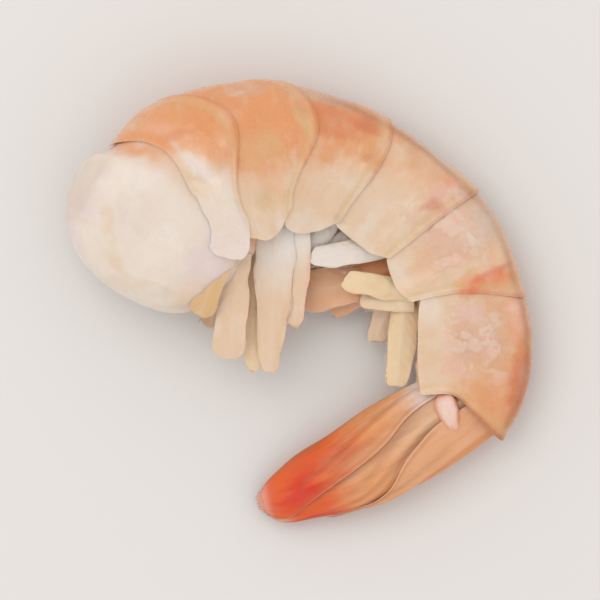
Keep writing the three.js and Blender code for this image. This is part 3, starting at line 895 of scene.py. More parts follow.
    def surface(self, s: Array, angle: Array, offset: Array, floor: Array) -> tuple[Array, Array, Array]:
        """The shell's form: the oval down each flank to the bend angle, then straight on along its tangent.

        Args:
            s: Distances along the axis.
            angle: Radians from the back.
            offset: Height over the body.
            floor: The nominal height over the body, which sets how low the point may lie.

        Returns:
            Points, the same in the straightened body, and the body's half height there.
        """
        at = BODY.station(s)
        a, b = at.half_height + offset, at.half_width + offset
        bend = np.radians(self.bend)
        size, side = np.abs(angle), np.where(angle < 0, -1.0, 1.0)
        up, across = BODY.oval(a, b, np.minimum(size, bend))
        p_up, p_across = BODY.oval(a, b, bend)
        q_up, q_across = BODY.oval(a, b, bend - 0.01)
        run = at.half_height * np.maximum(size - bend, 0) / np.hypot(p_up - q_up, p_across - q_across)
        up = up + (p_up - q_up) * run
        across = side * (across + (p_across - q_across) * run)
        return at.place(up, across, BODY.outermost - floor), grid(s, up, across), at.half_height

    def ring(self, index: int) -> None:
        """Builds one ring: an outer and an inner face whose distance thins to a round rim.

        Args:
            index: Which ring, 0 at the head end.
        """
        t = np.linspace(0, 1, self.rows)
        u = mix(t, 0.5 - 0.5 * np.cos(np.pi * t), 0.75)[:, None]
        w = np.linspace(-1, 1, self.columns)
        side = mix(w, np.sin(w * np.pi / 2), 0.6)[None, :]
        front, rear = self.edges(index, side)
        raised = BODY.joints[index + 1, 0] - self.tuck - 0.2 + self.sweep(index, side)
        flat = np.maximum(raised - self.rise, front + 0.3)
        if index == 5:
            s = mix(front, rear, u)
            rise = 0 * s
        else:
            s = (front + (flat - front) * np.clip(u / 0.5, 0, 1) + (raised - flat) * np.clip((u - 0.5) / 0.3, 0, 1)
                 + (rear - raised) * np.clip((u - 0.8) / 0.2, 0, 1))
            rise = ramp(s, flat, raised)
        skirt = np.radians(self.skirts[index] - self.skirt_rounding * np.abs(2 * u - 1) ** 2.5)
        angle = side * skirt
        first = self.gap + self.wall + mix(self.thin_lift, BODY.lift, ramp(-side, 0.32, 0.56)) * rise
        _, straight, half_height = self.surface(s, angle, first, first)
        here = RingGrid(index, s, side, front, rear, straight, half_height)
        rim = np.minimum(np.minimum(s - front, here.near), (1 - np.abs(side)) * skirt * half_height)
        thick = mix(self.rim_wall, mix(self.wall, self.thin_wall, rise), ramp(rim, 0.0, 1.2))
        thick = thick * np.sqrt(np.clip(1 - (1 - np.clip(rim / 0.1, 0, 1)) ** 2, 0.0, 1)) + 0.004
        press = (1 - ramp(s - front, 0.0, 2.6)) * mix(0.45, 0.74, ramp(np.abs(side), 0.1, 0.4)) * (index == 0)
        base = first - press + 0.14 * rough(straight * (0.8, 1, 1), 3.8, 101) + 0.035 * cloud(straight, 1.1, 131)
        outer = base - 0.5 * self.rim_wall * (1 - ramp(rim, 0, 0.1)) + self.relief(here) * ramp(rim, 0.0, 0.8)
        inner = np.minimum(base - thick, outer - 0.6 * thick)
        paint, speckle = self.paint(here)
        draft = Draft()
        draft.plate(coat(self.surface(s, angle, outer, first)[0], straight, paint, speckle),
                    coat(self.surface(s, angle, inner, first - thick)[0], straight, mix(paint, 0.8, 0.25), speckle))
        draft.build(f"shell_ring_{index + 1}", SHELL, f"shell_{index + 1}")

    def relief(self, here: RingGrid) -> Array:
        """Heights on the shell: a bead behind the rear edge, a cross groove, hinge bosses and soft dents.

        Args:
            here: The ring's grid.

        Returns:
            Heights in millimetres.
        """
        side, near, straight = np.abs(here.side), here.near, here.straight
        bead = 0.05 * bell(near, 0.4, 0.25) - 0.04 * bell(near, 1.0, 0.35)
        groove = -0.06 * bell(here.s - here.front, 2.3, 0.4) * (here.index not in (0, 5))
        hinge = 0.2 * bell(near, 1.3, 0.7) * bell(side, 0.56, 0.045)
        fold = -0.12 * bell(side, 0.66 - 0.05 * np.clip(near / 6, 0, 1), 0.025) * ramp(near, 0.5, 2.5)
        crumple = 0.09 * cloud(straight, 0.9, 141) + 0.05 * cloud(straight, 0.45, 145)
        return bead + groove + hinge + fold + 0.16 * self.flakes(straight) + self.lifted(straight) * crumple

    def lifted(self, straight: Array) -> Array:
        """Where the shell has come loose and crumpled, on the upper flank of rings 4 to 6.

        Args:
            straight: Points in the straightened body.

        Returns:
            How loose it is, from 0 to 1.
        """
        s, up, across = np.moveaxis(straight, -1, 0)
        zone = (bell(s, 37.2, 2.6) + bell(s, 48.5, 4.4) + 0.6 * bell(s, 32.4, 2.0)) * ramp(up, -3.6, -0.6)
        return np.clip(zone, 0, 1) * (1 - ramp(up, 3.6, 5.4)) * ramp(across, -1.0, 1.0)

    def flakes(self, straight: Array) -> Array:
        """Pale flakes where the shell is lifted, from 0 to 1: wavy islands with ragged edges."""
        islands = rough(straight * (1.0, 0.8, 1), 1.5, 151) + 0.3 * rough(straight, 0.5, 155)
        return self.lifted(straight) * ramp(islands, 0.06, 0.26)

    def paint(self, here: RingGrid) -> tuple[Array, Array]:
        """Cream flanks, an orange back in uneven streaks, stained spots, a few painted highlights and darker edges.

        Args:
            here: The ring's grid.

        Returns:
            Linear colours, and the strength of the pigment specks.
        """
        index, straight, height, near, past = here.index, here.straight, here.height, here.near, here.s - here.front
        start, length = BODY.joints[index, 0], BODY.lengths[index]
        ring = index + (here.s - start) / length - 0.5
        reach = even(self.pigment_reach, ring)
        streaks = 0.30 * rough(straight * (0.45, 1, 1), 2.6, 171) + 0.22 * rough(straight * (1, 0.4, 0.4), 1.2, 181)
        pigment = even(self.back_pigment, ring) * ramp(height + streaks, reach - 0.5, reach + 0.55)
        pigment = pigment * (1 - 0.35 * ramp(rough(straight * (1, 0.35, 0.35), 0.8, 185), 0.05, 0.5))
        lifted, flakes = self.lifted(straight), self.flakes(straight)
        keel = bell(height, 1.04, 0.07) * ramp(here.s, 17, 20) * (1 - 0.6 * bell(here.s, 37, 3.5))
        paint = painted(
            Tint.CREAM, straight,
            (Tint.FLESH, 0.5 * ramp(rough(straight, 4.0, 191), 0.0, 0.6) * ramp(-height, -0.1, 0.5)),
            (Tint.PEACH, pigment * 1.6),
            (Tint.ORANGE, ramp(pigment, 0.35, 1.0) * 0.85),
            *(patch.layer(straight, here.half_height) for patch in self.patches
              if abs(patch.along - start - length / 2) < self.patch_range),
            (Tint.PEACH, 0.5 * lifted),
            (Tint.GREY, 0.3 * lifted),
            (Tint.MILK, 0.3 * flakes),
            (Tint.BARK, 0.45 * keel),
            (Tint.RUST, 0.36 * bell(near, 0.16, 0.2) * ramp(height, -0.7, 0.4)),
            (Tint.BARK, 0.5 * bell(near, 0.1, 0.35) * ramp(height, -0.3, 0.1) * (index == 5)),
            (Tint.STRAW, 0.45 * bell(near, 0.9, 0.5)))
        if index == 0:
            paint = painted(
                paint, straight,
                (Tint.FLESH, 0.8 * ramp(-height, -0.35, 0.3) * ramp(near, 0.0, 2.0)),
                (Tint.LILAC, 0.5 * ramp(-height, 0.2, 0.8)),
                (Tint.PEACH, 0.6 * bell(past, 0.3, 0.4) * ramp(height, 0.1, 0.7)),
                (Tint.ORANGE, 0.75 * bell(past, 0.6, 0.8) * ramp(height, 0.4, 0.7)))
        return paint, np.clip(pigment * 1.2, 0.05, 1) * (1 - 0.8 * flakes)


@dataclass(frozen=True)
class Branch:
    """One flat branch of a leg: its path by root, bend and tip with their widths, and its tints at root and tip."""

    root: Spot
    bend: Spot
    tip: Spot
    widths: Spot
    tints: tuple[Tint, Tint]
    blush: float = 0.3


@dataclass
class SwimmingLegs:
    """Five pairs of swimming legs with fine fringes, each leg a longer and a shorter branch from one root."""

    legs: tuple[tuple[str, Branch, Branch], ...] = (
        ("1_upper",
         Branch((-7.6, 5.7, 9.8), (-7.8, 0.5, 10.2), (-8.6, -7.1, 8.0), (3.4, 3.6, 4.2), (Tint.CREAM, Tint.CREAM)),
         Branch((-7.1, 7.3, 9.6), (-10.3, 3.6, 13.4), (-12.0, -1.9, 9.8), (2.8, 3.2, 3.2), (Tint.CREAM, Tint.STRAW))),
        ("2_upper",
         Branch((-2.7, 10.5, 9.6), (-3.1, 1.5, 9.0), (-3.7, -8.8, 7.4), (5.4, 4.6, 2.5), (Tint.MILK, Tint.CREAM)),
         Branch((-1.1, 10.1, 9.3), (-0.8, 3.5, 8.6), (-0.5, -3.2, 7.6), (4.8, 3.8, 2.2), (Tint.MILK, Tint.CREAM),
                0.9)),
        ("3_upper",
         Branch((3.5, 10.9, 7.0), (2.3, 7.9, 7.4), (-0.5, 5.1, 8.0), (4.4, 4.2, 3.2), (Tint.MILK, Tint.MILK), 0.0),
         Branch((3.5, 10.9, 6.4), (2.9, 7.5, 6.6), (1.1, 4.9, 6.8), (3.6, 3.4, 2.6), (Tint.FLESH, Tint.MILK), 0.0)),
        ("4_upper",
         Branch((10.9, 6.9, 6.2), (6.3, 5.5, 7.6), (1.2, 5.2, 8.6), (3.4, 3.3, 2.6), (Tint.MILK, Tint.MILK), 0.0),
         Branch((9.9, 8.9, 5.8), (6.9, 7.3, 6.4), (3.3, 6.1, 7.2), (4.4, 3.6, 2.2), (Tint.FLESH, Tint.MILK), 0.0)),
        ("5_upper",
         Branch((13.9, 1.1, 6.4), (9.3, 1.5, 7.0), (5.1, 2.4, 7.4), (3.2, 2.8, 2.4), (Tint.BUTTER, Tint.BUTTER)),
         Branch((13.7, 0.1, 5.8), (10.3, -0.1, 6.0), (7.3, -0.1, 5.8), (3.0, 2.6, 2.0), (Tint.BUTTER, Tint.BUTTER))),
        ("1_lower",
         Branch((-8.3, 4.5, 5.2), (-9.7, 0.5, 4.0), (-10.9, -3.1, 2.6), (2.8, 3.0, 2.6), (Tint.STRAW, Tint.TAN)),
         Branch((-8.1, 4.5, 4.6), (-8.7, 0.5, 3.4), (-9.7, -2.7, 2.0), (2.4, 2.4, 2.2), (Tint.STRAW, Tint.TAN))),
        ("2_lower",
         Branch((-4.9, 8.5, 7.4), (-5.7, 2.5, 8.0), (-5.7, -8.8, 6.2), (3.4, 2.3, 1.8), (Tint.BUTTER, Tint.BUTTER)),
         Branch((-4.1, 8.5, 4.8), (-4.3, 1.5, 3.6), (-5.0, -6.1, 2.0), (3.0, 2.0, 1.5), (Tint.STRAW, Tint.OLIVE))),
        ("3_lower",
         Branch((3.7, 9.1, 4.0), (2.5, 5.5, 3.2), (-0.3, 2.9, 2.2), (3.0, 2.8, 2.8), (Tint.PEACH, Tint.STRAW)),
         Branch((3.7, 9.1, 3.6), (3.5, 5.5, 2.8), (1.9, 2.7, 1.8), (2.8, 2.4, 2.2), (Tint.PEACH, Tint.STRAW))),
        # Partly painted shade: the fourth lower leg's orange is its own colour and also stands in for the
        # orange-tinted shadow under the upper legs.
        ("4_lower",
         Branch((10.9, 3.9, 4.6), (5.9, 1.6, 5.4), (-0.1, 0.8, 5.2), (4.8, 5.2, 4.6), (Tint.ORANGE, Tint.PEACH)),
         Branch((10.9, 3.5, 3.6), (7.3, 0.9, 3.6), (3.3, -1.1, 3.0), (4.2, 4.0, 3.0), (Tint.PEACH, Tint.PEACH))),
        ("5_lower",
         Branch((12.9, 1.5, 4.8), (12.3, -3.5, 5.2), (11.6, -10.3, 4.6), (3.0, 3.6, 3.0), (Tint.BUTTER, Tint.BUTTER)),
         Branch((12.7, 1.1, 4.0), (10.1, -1.1, 3.8), (9.1, -5.0, 2.8), (3.0, 3.0, 2.6), (Tint.FLESH, Tint.CREAM))))
    thickness: float = 0.9
    rows: int = 90
    columns: int = 44
    hairs: int = 46
    hair_radius: float = 0.03
    grain_start: float = 60.0
    grain_step: float = 20.0

    def make(self) -> None:
        """Builds the ten legs."""
        for number, (name, outer, inner) in enumerate(self.legs):
            draft = Draft()
            self.branch(draft, outer, 200 + 4 * number)
            self.branch(draft, inner, 202 + 4 * number)
            draft.build(f"swimming_leg_{name}", LEG, f"leg_{name}")

    def branch(self, draft: Draft, branch: Branch, seed: int) -> None:
        """Adds one flat branch: a lens-shaped section with a faint midrib along a bent path, fringed with hairs.

        Args:
            draft: The mesh that it joins.
            branch: Its path, widths and tints.
            seed: Picks its small waves.
        """
        root, knee, tip = (np.array(spot) for spot in (branch.root, branch.bend, branch.tip))
        length = float(np.linalg.norm(knee - root) + np.linalg.norm(tip - knee))
        t = (1 - (1 - np.linspace(0.004, 1, self.rows)) ** 1.6)[:, None]
        t[-1] = 0.99995
        middle = (1 - t) ** 2 * root + 2 * t * (1 - t) * knee + t**2 * tip
        along = 2 * (1 - t) * (knee - root) + 2 * t * (tip - knee)
        along /= np.linalg.norm(along, axis=1, keepdims=True)
        across = np.cross([0.0, 0.0, 1.0], along)
        across /= np.linalg.norm(across, axis=1, keepdims=True)
        face = np.cross(along, across)
        angle = np.linspace(0, 2 * np.pi, self.columns, endpoint=False)[None, :]
        c, s = np.cos(angle), np.sin(angle)
        stem = 1 - ramp(t, 0.16, 0.34)
        half_width = through(tuple(zip((0.0, 0.5, 1.0), branch.widths)), t) / 2 * np.sqrt(1 - t**28)
        half_thick = self.thickness / 2 * mix(1.35, 0.55, t) * (1 + 0.2 * stem - 0.1 * bell(t, 0.30, 0.04))
        half_thick = half_thick * np.clip(1 - t**28, 0, 1) ** 0.5
        lens = np.sign(s) * np.abs(s) ** mix(1.9, 1.0, stem)
        x = half_width * c * (1 + 0.12 * cloud(grid(t * length, c * 2, 0 * angle), 1.9, seed))
        rib = 0.06 * bell(x, 0, 0.32) * np.sign(s) * np.abs(s) * (1 - ramp(t, 0.8, 1.0))
        veins = 0.03 * np.cos((np.abs(x) - t * length * 0.9) * 5.2) * ramp(np.abs(x), 0.3, 0.7) * (1 - stem)
        y = half_thick * lens + rib + veins * s
        flat = grid(t * length, x, y)
        cup = 0.22 * (c**2 - 0.4) * (1 - stem) + 0.3 * cloud(flat, 2.6, seed) * c**2
        y = y + cup * ramp(t, 0.2, 0.6)
        ragged = 0.35 * cloud(flat, 0.9, seed + 1) * ramp(t, 0.9, 1.0)
        points = middle[:, None] + across[:, None] * x[..., None] + face[:, None] * y[..., None]
        points = points + along[:, None] * ragged[..., None]
        points[..., 2] = np.maximum(points[..., 2], 0.15)
        base = mix(branch.tints[0].linear, branch.tints[1].linear, ramp(t, 0.22, 0.6)[..., None])
        paint = painted(
            base, flat,
            (Tint.MILK, 0.25 * ramp(rough(flat * (0.4, 1, 1), 1.8, seed + 7), 0.1, 0.6)),
            (Tint.STRAW, 0.3 * ramp(rough(flat * (0.3, 1, 1), 1.5, seed + 9), 0.15, 0.6)),
            (Tint.STRAW, 0.25 * ramp(np.abs(c), 0.85, 1.0) * (1 - stem)),
            (Tint.MILK, 0.12 * bell(x, 0, 0.3)),
            (Tint.PINK, branch.blush * ramp(c, 0.7, 1.0) * ramp(t, 0.2, 0.5)))
        draft.tube(coat(points, flat + np.array([self.grain_start + self.grain_step * seed, 0, 0]), paint, 0.15))
        self.fringe(draft, (middle, along, across, half_width, t, paint.mean(axis=1)), seed)

    def fringe(self, draft: Draft, path: tuple[Array, ...], seed: int) -> None:
        """Adds the hairs on both edges of a branch, which lean towards its tip.

        Args:
            draft: The mesh that they join.
            path: The branch's middle line, direction, sideways direction, half width, share of the way and colours.
            seed: Picks their small differences.
        """
        random = np.random.default_rng(seed)
        share = path[4][:, 0]
        for sign in (-1.0, 1.0):
            pick = np.clip(np.searchsorted(share, random.uniform(0.32, 0.998, self.hairs)), 0, len(share) - 1)
            middle, along, across, half_width, t, paint = (values[pick] for values in path)
            roots = middle + across * half_width * sign * 0.93
            size = random.uniform(0.35, 0.85, (self.hairs, 1)) * ramp(t, 0.25, 0.7)
            lean = along * random.uniform(0.7, 1.4, (self.hairs, 1))
            tips = roots + (across * sign * (0.35 + 0.4 * (1 - t)) + lean) * size
            tips[:, 2] -= random.uniform(0.0, 0.2, self.hairs)
            sag = np.column_stack([np.zeros((self.hairs, 2)), random.uniform(0.0, 0.08, self.hairs)])
            roots[:, 2] = np.maximum(roots[:, 2], 0.12)
            tips[:, 2] = np.maximum(tips[:, 2], 0.06)
            draft.strands(roots, tips, sag, self.hair_radius, mix(paint, 0.75, 0.35))


@dataclass(frozen=True)
class Blade:
    """One blade of the tail fan: its two edges as pairs of distance and angle from the back, and its ends."""

    name: str
    node: str
    low: Knots
    high: Knots
    start: float
    end: float
    lift: float
    flanks: tuple[str, ...]
    keels: tuple[Knots, ...]
    seed: int


@dataclass
class TailFan:
    """The folded tail fan: a bud of five ribbed blades and the two knuckles that carry them."""

    heights: Knots = (
        (-4, 4.5), (5, 4.9), (10, 4.75), (15, 4.2), (20, 3.4), (23, 2.6), (25, 1.7), (26, 1.1))
    widths: Knots = ((-4, 2.4), (4, 2.6), (9, 2.6), (15, 2.2), (20, 1.5), (24, 0.7), (26, 0.15))
    belly_shifts: Knots = ((-4, 0), (2, 0.4), (8, 0.6), (15, 0.2), (20, 0), (23, -0.45), (26, -0.2))
    outermost: float = 1.46
    wall: float = 0.3
    rows: int = 190
    columns: int = 130
    hairs: int = 120
    hair_radius: float = 0.032
    grain_start: float = 120.0
    grain_cycle: int = 97
    knuckle_size: Spot = (2.4, 1.4, 1.0)
    knuckle_turn: float = 43.0
    knuckle_reach: float = 2.65
    knuckle_grain: float = 150.0
    spine: Blade = Blade(
        "fan_spine", "tail_spine",
        ((-3, -86), (3.3, -83.5), (4.9, -78), (8.2, -61), (10.7, -36), (13, -20), (18, -9)),
        ((-3, 86), (3.3, 83.5), (4.9, 78), (8.2, 61), (10.7, 36), (13, 20), (18, 9)), -3.3, 17.6, 0.42, ("",),
        (((-3, 38), (5, 31), (9, 18), (13, 9), (18, 3)), ((-3, -38), (5, -31), (9, -18), (13, -9), (18, -3))), 300)
    inner: Blade = Blade(
        "fan_inner_blade", "tail_inner_blade", ((-3, 50), (4, 46), (8, 30), (12, 5), (16, 1.5), (24, 1.5)),
        ((-3, 126), (4, 122), (9, 108), (13, 98), (17, 88), (21, 72), (24.4, 58)), -2.6, 24.4, 0.0,
        ("_upper", "_lower"), (((-3, 96), (4, 92), (9, 74), (13, 52), (17, 42), (24, 30)),), 320)
    outer: Blade = Blade(
        "fan_outer_blade", "tail_outer_blade",
        ((-3, 118), (4.3, 114), (8.9, 97), (12.4, 90), (15.9, 82), (18, 74), (20.5, 60), (23, 40), (25.6, 24)),
        ((-3, 158), (3, 166), (10, 174), (18, 172), (22, 166), (25.6, 158)), -2.2, 25.6, 0.5,
        ("_upper", "_lower"), (((-3, 138), (4, 134), (9, 124), (14, 112), (19, 92), (25, 80)),), 340)

    def point(self, distance: Array, angle: Array, offset: Array, floor: Array) -> Array:
        """Points in or on the bud, on the fan's own axis, which turns away from the last ring's end and curls on.

        The section is an oval: half height times the cosine of the angle and half width times its sine, both grown
        by the offset, and the whole oval is shifted a little towards the belly.

        Args:
            distance: Along the fan.
            angle: Radians from the back.
            offset: Height over the bud's skin.
            floor: The nominal height over it, which sets how low the point may lie.

        Returns:
            Points, three values on the last axis.
        """
        x, y, heading = BODY.fan_axis(distance)
        half_width = through(self.widths, distance)
        up = (through(self.heights, distance) + offset) * np.cos(angle) - through(self.belly_shifts, distance)
        middle = half_width + self.outermost - BODY.flat_depth
        return grid(x - np.sin(heading) * up, y + np.cos(heading) * up,
                    np.maximum(middle + (half_width + offset) * np.sin(angle), self.outermost - floor))

    def make(self) -> None:
        """Builds the blades and the knuckles."""
        for blade in (self.spine, self.inner, self.outer):
            for flank in blade.flanks:
                self.blade(blade, flank)
        self.knuckle("upper", 1)
        self.knuckle("lower", -1)

    def blade(self, blade: Blade, flank: str) -> None:
        """Builds one blade: a strip of the bud's skin with a round end, keels along it and a fringe at its end.

        Args:
            blade: Its sizes.
            flank: The ending of its node's name.
        """
        sign = -1 if flank == "_lower" else 1
        t = np.linspace(0, 1, self.rows)
        u = mix(t, 0.5 - 0.5 * np.cos(np.pi * t), 0.6)[:, None]
        w = np.linspace(-1, 1, self.columns)
        side = mix(w, np.sin(w * np.pi / 2), 0.6)[None, :]
        distance = mix(blade.start, blade.end, u)
        low, high = through(blade.low, distance), through(blade.high, distance)
        half = (high - low) / 2 * np.maximum(np.sqrt(1 - u**20), 0.45)
        angle = (low + high) / 2 + half * side
        ragged = rough(grid(side * 4, angle * 0.02, 0 * angle), 0.9, 395)
        distance = distance - (0.35 * side**2 * u**6 - 0.35 * ragged * u**12)
        turned = sign * np.radians(angle)
        flat = grid(distance, angle * 0.08, 0 * distance)
        rim = np.minimum(np.minimum(distance - blade.start, (1 - u) * (blade.end - blade.start)),
                         (1 - np.abs(side)) * half * 0.075)
        thick = mix(0.1, self.wall, ramp(rim, 0.0, 1.1))
        thick = thick * np.sqrt(np.clip(1 - (1 - np.clip(rim / 0.12, 0, 1)) ** 2, 0, 1)) + 0.004
        nominal = blade.lift + self.wall
        sunk = 0.8 * blade.lift * ramp(distance, 11, 16) * (blade is self.spine)
        relief = self.relief(blade, angle, u, flat) * ramp(rim, 0.0, 0.5)
        outer = nominal - sunk + relief - 0.07 * (1 - ramp(rim, 0, 0.12))
        paint = self.paint(blade, flat, angle, distance, rim)
        speckle = 0.7 * ramp(self.wandering(flat, distance), 3, 16)
        seed = blade.seed + sign
        straight = flat + np.array([self.grain_start + seed % self.grain_cycle, 0, 0])
        draft = Draft()
        draft.plate(coat(self.point(distance, turned, outer, nominal), straight, paint, speckle),
                    coat(self.point(distance, turned, outer - thick, nominal - thick), straight, paint, speckle))
        self.fringe(draft, turned, distance, nominal, sign, seed)
        draft.build(f"{blade.name}{flank}", TAIL, f"{blade.node}{flank}")

    def relief(self, blade: Blade, angle: Array, u: Array, flat: Array) -> Array:
        """Heights on a blade: a rounded keel with a groove on both sides, fine lines along it and soft dents.

        Args:
            blade: Which blade.
            angle: Degrees from the back.
            u: Share of the way along the blade.
            flat: Points on the unrolled blade.

        Returns:
            Heights in millimetres.
        """
        height = 0.08 * rough(flat, 2.4, 361) + 0.012 * np.cos(angle * 0.8 + 2.0 * cloud(flat, 3.0, 371))
        for keel in blade.keels:
            off = angle - through(keel, flat[..., 0])
            height = height + (0.24 * bell(off, 0, 6.5) - 0.12 * bell(off, 13, 6) - 0.12 * bell(off, -13, 6)) * (
                1 - ramp(u, 0.75, 1.0))
        return height

    def wandering(self, flat: Array, distance: Array) -> Array:
        """The distance along the fan, shifted to and fro in long streaks."""
        return distance + 2.6 * rough(flat * (0.22, 1, 1), 1.3, 381) + 1.2 * rough(flat * (0.35, 1, 1), 0.5, 391)

    def paint(self, blade: Blade, flat: Array, angle: Array, distance: Array, rim: Array) -> Array:
        """Peach at the base to orange-red at the tip in long streaks, painted shade in the grooves, at the edges and
        under overlapping blades, pale worn edges.

        Args:
            blade: Which blade.
            flat: Points on the unrolled blade.
            angle: Degrees from the back.
            distance: Millimetres along the fan.
            rim: Distance from the nearest edge.

        Returns:
            Linear colours.
        """
        d = self.wandering(flat, distance)
        streak = rough(flat * (0.15, 1, 1), 0.7, 385)
        if blade is self.outer:
            layers = [
                (Tint.ORANGE, ramp(d, 1, 9)),
                (Tint.LILAC, 0.7 * (1 - ramp(d, 0.5, 4.5))),
                (Tint.EMBER, 0.9 * ramp(d + 0.02 * (angle - 110), 8.5, 18.0)),
                (Tint.FLAME, bell(d, 20.0, 3.0) * bell(angle, 88, 40)),
                (Tint.BARK, 0.3 * ramp(np.abs(angle - 96), 34, 66) * ramp(distance, 14, 18)),
                (Tint.RUST, 0.75 * bell(distance, 14.2, 2.4) * bell(angle, 112, 15)),
                (Tint.STRAW, 0.4 * bell(distance, 12.0, 2.4) * bell(angle, 100, 6)),
                (Tint.ROSE, 0.5 * ramp(distance, 22.8, 24.8)),
                (Tint.PINK, 0.6 * ramp(distance, 23.8, 25.2)),
                (Tint.BARK, 0.4 * ramp(angle, 152, 170) * ramp(distance, 8, 14))]
        elif blade is self.inner:
            layers = [
                (Tint.CREAM, 0.5 * (1 - ramp(d, 0, 5))),
                (Tint.ORANGE, 0.85 * ramp(d, 4, 12)),
                (Tint.EMBER, 0.9 * ramp(d, 13, 19)),
                (Tint.FLAME, 0.7 * bell(d, 18.6, 2.4) * ramp(-angle, -60, -10)),
                (Tint.PINK, 0.8 * ramp(distance, 21.4, 23.6)),
                (Tint.PEACH, 0.35 * bell(distance, 13.0, 3.0) * bell(angle, 80, 10)),
                (Tint.STRAW, 0.5 * bell(angle, 92, 12) * bell(distance, 4.0, 2.2)),
                # Painted shade: dark bands on the inner blade just beside the edges of the outer blade and the spine
                # that lie over it.
                (Tint.BARK, 0.35 * bell(angle - through(self.outer.low, distance), -4, 5) * ramp(distance, 0, 5)),
                (Tint.BARK, 0.3 * bell(angle - through(self.spine.high, distance), 4, 4))]
        else:
            crest = 1 - ramp(np.abs(angle) - through(blade.keels[0], distance), -4, 4)
            layers = [
                (Tint.CREAM, 0.25 * (1 - crest) * ramp(streak, -0.2, 0.3)),
                (Tint.PINK, 0.2 * bell(distance, -0.4, 2.2) * bell(angle, 62, 18)),
                (Tint.ORANGE, 0.45),
                (Tint.ORANGE, 0.9 * crest + 0.5 * ramp(d, 8, 13)),
                (Tint.EMBER, 0.45 * crest * ramp(d, 3, 14))]
        layers.append((Tint.BARK, 0.16 * ramp(streak, 0.1, 0.5) * ramp(distance, 1, 5)))
        # Painted shade: dark lines in the grooves beside each keel.
        lines = 0.2 * ramp(distance, 1, 5) * (1 - ramp(distance, 17, 22))
        layers += [(Tint.BARK, lines * bell(np.abs(angle - through(keel, distance)), 12, 5)) for keel in blade.keels]
        # Painted shade: a dark band just inside every blade's edge; the pale pink rim outside it is the thin edge's
        # own colour.
        return painted(Tint.PEACH, flat, *layers, (Tint.BARK, 0.3 * bell(rim, 0.35, 0.2) * ramp(distance, 1, 4)),
                       (Tint.PINK, 0.35 * (1 - ramp(rim, 0.0, 0.2))))

    def fringe(self, draft: Draft, turned: Array, distance: Array, offset: float, sign: int, seed: int) -> None:
        """Adds hairs along a blade's end and the last part of its sides, combed towards the tip.

        Args:
            draft: The mesh that they join.
            turned: The grid's angles.
            distance: The grid's distances along the fan.
            offset: Height of the blade's outside over the bud.
            sign: 1 for the upper flank, -1 for the lower.
            seed: Picks their small differences.
        """
        random = np.random.default_rng(seed)
        rows, columns = turned.shape
        where = random.uniform(0, 3, self.hairs)
        low, high = where < 1, where > 2
        back = np.where(low, 1 - where, where - 2) * rows * 0.3
        row = rows - 1 - np.where(low | high, back, 0).astype(int)
        column = np.where(low, 0, np.where(high, columns - 1, ((where - 1) * (columns - 1)).astype(int)))
        angle, along = turned[row, column], distance[row, column]
        spread = np.where(low, -1.0, np.where(high, 1.0, 2 * (where - 1) - 1)) * sign
        height = offset - 0.12
        reach = random.uniform(0.35, 0.95, self.hairs)
        roots = self.point(along - 0.12, angle, height, height)
        tips = self.point(np.minimum(along + reach * 0.8, BODY.fan_length + 0.3),
                          angle + sign * spread * 0.05 * reach, height - 0.2 * reach, height)
        onward = roots - self.point(along - 1.0, angle, height, height)
        tips = np.where((along + reach * 0.8 > BODY.fan_length)[:, None], roots + onward * reach[:, None] * 0.8, tips)
        tips[:, 2] = np.maximum(tips[:, 2], 0.05)
        colour = mix(Tint.PINK.linear, Tint.EMBER.linear, random.uniform(0.0, 0.35, (self.hairs, 1)))
        draft.strands(roots, tips, np.zeros((self.hairs, 3)), self.hair_radius, colour)

    def knuckle(self, flank: str, sign: int) -> None:
        """Builds one knuckle: a ball stretched along its length, with a blunt spine, a cleft and soft lobes.

        Args:
            flank: The flank's name.
            sign: 1 for the upper flank, -1 for the lower.
        """
        at = BODY.station(np.array([BODY.length - 0.2]))
        centre = at.place(-0.4, sign * self.knuckle_reach, BODY.outermost)[0]
        theta = np.linspace(0.02, np.pi - 0.02, 90)[:, None]
        phi = np.linspace(0, 2 * np.pi, 96, endpoint=False)[None, :]
        unit = grid(np.cos(theta), np.sin(theta) * np.cos(phi), np.sin(theta) * np.sin(phi))
        x, y, z = np.moveaxis(unit, -1, 0)
        cleft = 0.07 * bell(y, -0.15, 0.2) * ramp(x, -0.6, 0.3)
        size = 1 + 0.12 * rough(unit, 0.6, 401) - cleft + 0.08 * bell(y, 0.5, 0.22) * ramp(z, 0, 0.6)
        local = unit * size[..., None] * np.array(self.knuckle_size) * grid(1 + 0 * x, 1 - 0.3 * x, 1 - 0.15 * x)
        turn = float(at.heading[0]) + np.radians(self.knuckle_turn)
        points = centre + grid(local[..., 0] * np.cos(turn) - local[..., 1] * np.sin(turn),
                               local[..., 0] * np.sin(turn) + local[..., 1] * np.cos(turn), local[..., 2])
        paint = painted(
            Tint.PINK, points,
            (Tint.ORANGE, 0.6 * ramp(np.abs(y + 0.2 * rough(unit, 0.5, 415)), 0.3, 0.8)),
            # Painted highlight: milky white over the knuckle's top.
            (Tint.MILK, 0.5 * ramp(z + 0.3 * rough(unit, 0.5, 411), 0.4, 1.0)),
            (Tint.ORANGE, 0.85 * ramp(-z + 0.3 * rough(unit, 0.4, 419), -0.5, 0.2)))
        draft = Draft()
        draft.tube(coat(points, local + np.array([self.knuckle_grain, 0, 0]), paint, 0.3))
        draft.build(f"fan_knuckle_{flank}", TAIL, f"tail_knuckle_{flank}")


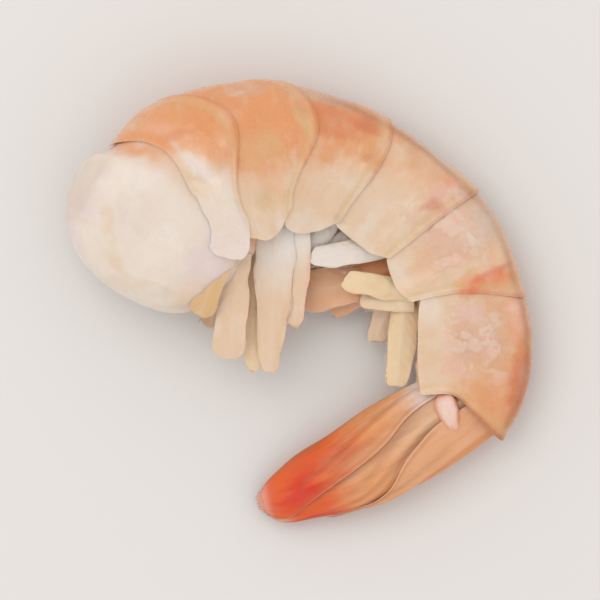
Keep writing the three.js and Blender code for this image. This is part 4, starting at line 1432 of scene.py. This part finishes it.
@dataclass
class Studio:
    """The pale floor, the soft light and the camera straight above."""

    floor_size: float = 3.0
    floor_tint: Spot = (0.735, 0.71, 0.695)
    floor_roughness: float = 0.6
    world: float = 0.95
    world_tint: Spot = (1.0, 0.985, 0.965)
    key_power: float = 0.6
    key_place: Spot = (-0.2, 0.2, 0.5)
    key_size: float = 0.4
    key_tint: Spot = (1.0, 0.99, 0.97)
    camera_height: float = 0.75
    sharp_height: float = 0.006
    view_width: float = 0.072

    def make(self) -> None:
        """Sets up floor, light, sky and camera."""
        bpy.context.scene.view_settings.view_transform = "Standard"
        self.floor()
        self.key()
        sky = bpy.data.worlds.new("soft_sky")
        sky.use_nodes = True
        sky.node_tree.nodes["Background"].inputs["Color"].default_value = (*self.world_tint, 1)
        sky.node_tree.nodes["Background"].inputs["Strength"].default_value = self.world
        bpy.context.scene.world = sky
        camera = bpy.data.cameras.new("from_above")
        camera.lens = camera.sensor_width * (self.camera_height - self.sharp_height) / self.view_width
        camera.clip_start = 0.05
        eye = self.hang("from_above", camera)
        eye.location = (0.0, 0.0, self.camera_height)
        bpy.context.scene.camera = eye

    def hang(self, name: str, data: bpy.types.ID) -> Piece:
        """Puts a new object in the scene.

        Args:
            name: Its name.
            data: Its mesh, light or camera.

        Returns:
            The new object.
        """
        made = bpy.data.objects.new(name, data)
        bpy.context.scene.collection.objects.link(made)
        return made

    def floor(self) -> None:
        """Lays the floor: one large square."""
        half = self.floor_size / 2
        mesh = bpy.data.meshes.new("pale_floor")
        mesh.from_pydata([(-half, -half, 0), (half, -half, 0), (half, half, 0), (-half, half, 0)], [], [(0, 1, 2, 3)])
        made = bpy.data.materials.new("pale_floor")
        made.use_nodes = True
        shader = made.node_tree.nodes["Principled BSDF"]
        shader.inputs["Base Color"].default_value = (*self.floor_tint, 1)
        shader.inputs["Roughness"].default_value = self.floor_roughness
        mesh.materials.append(made)
        floor = self.hang("pale_floor", mesh)

    def key(self) -> None:
        """Hangs the square soft light, which faces the origin."""
        lamp = bpy.data.lights.new("key", "AREA")
        lamp.size = self.key_size
        lamp.energy = self.key_power
        lamp.color = self.key_tint
        x, y, z = self.key_place
        holder = self.hang("key", lamp)
        holder.location = self.key_place
        holder.rotation_euler = (0.0, np.arctan2(np.hypot(x, y), z), np.arctan2(y, x))


def main() -> None:
    """Builds the shrimp from the inside out, then the studio round it."""
    logging.basicConfig(level=logging.INFO, format="%(name)s: %(message)s", stream=sys.stdout)
    Flesh().make()
    Shell().make()
    SwimmingLegs().make()
    TailFan().make()
    Studio().make()


if __name__ == "__main__":
    main()
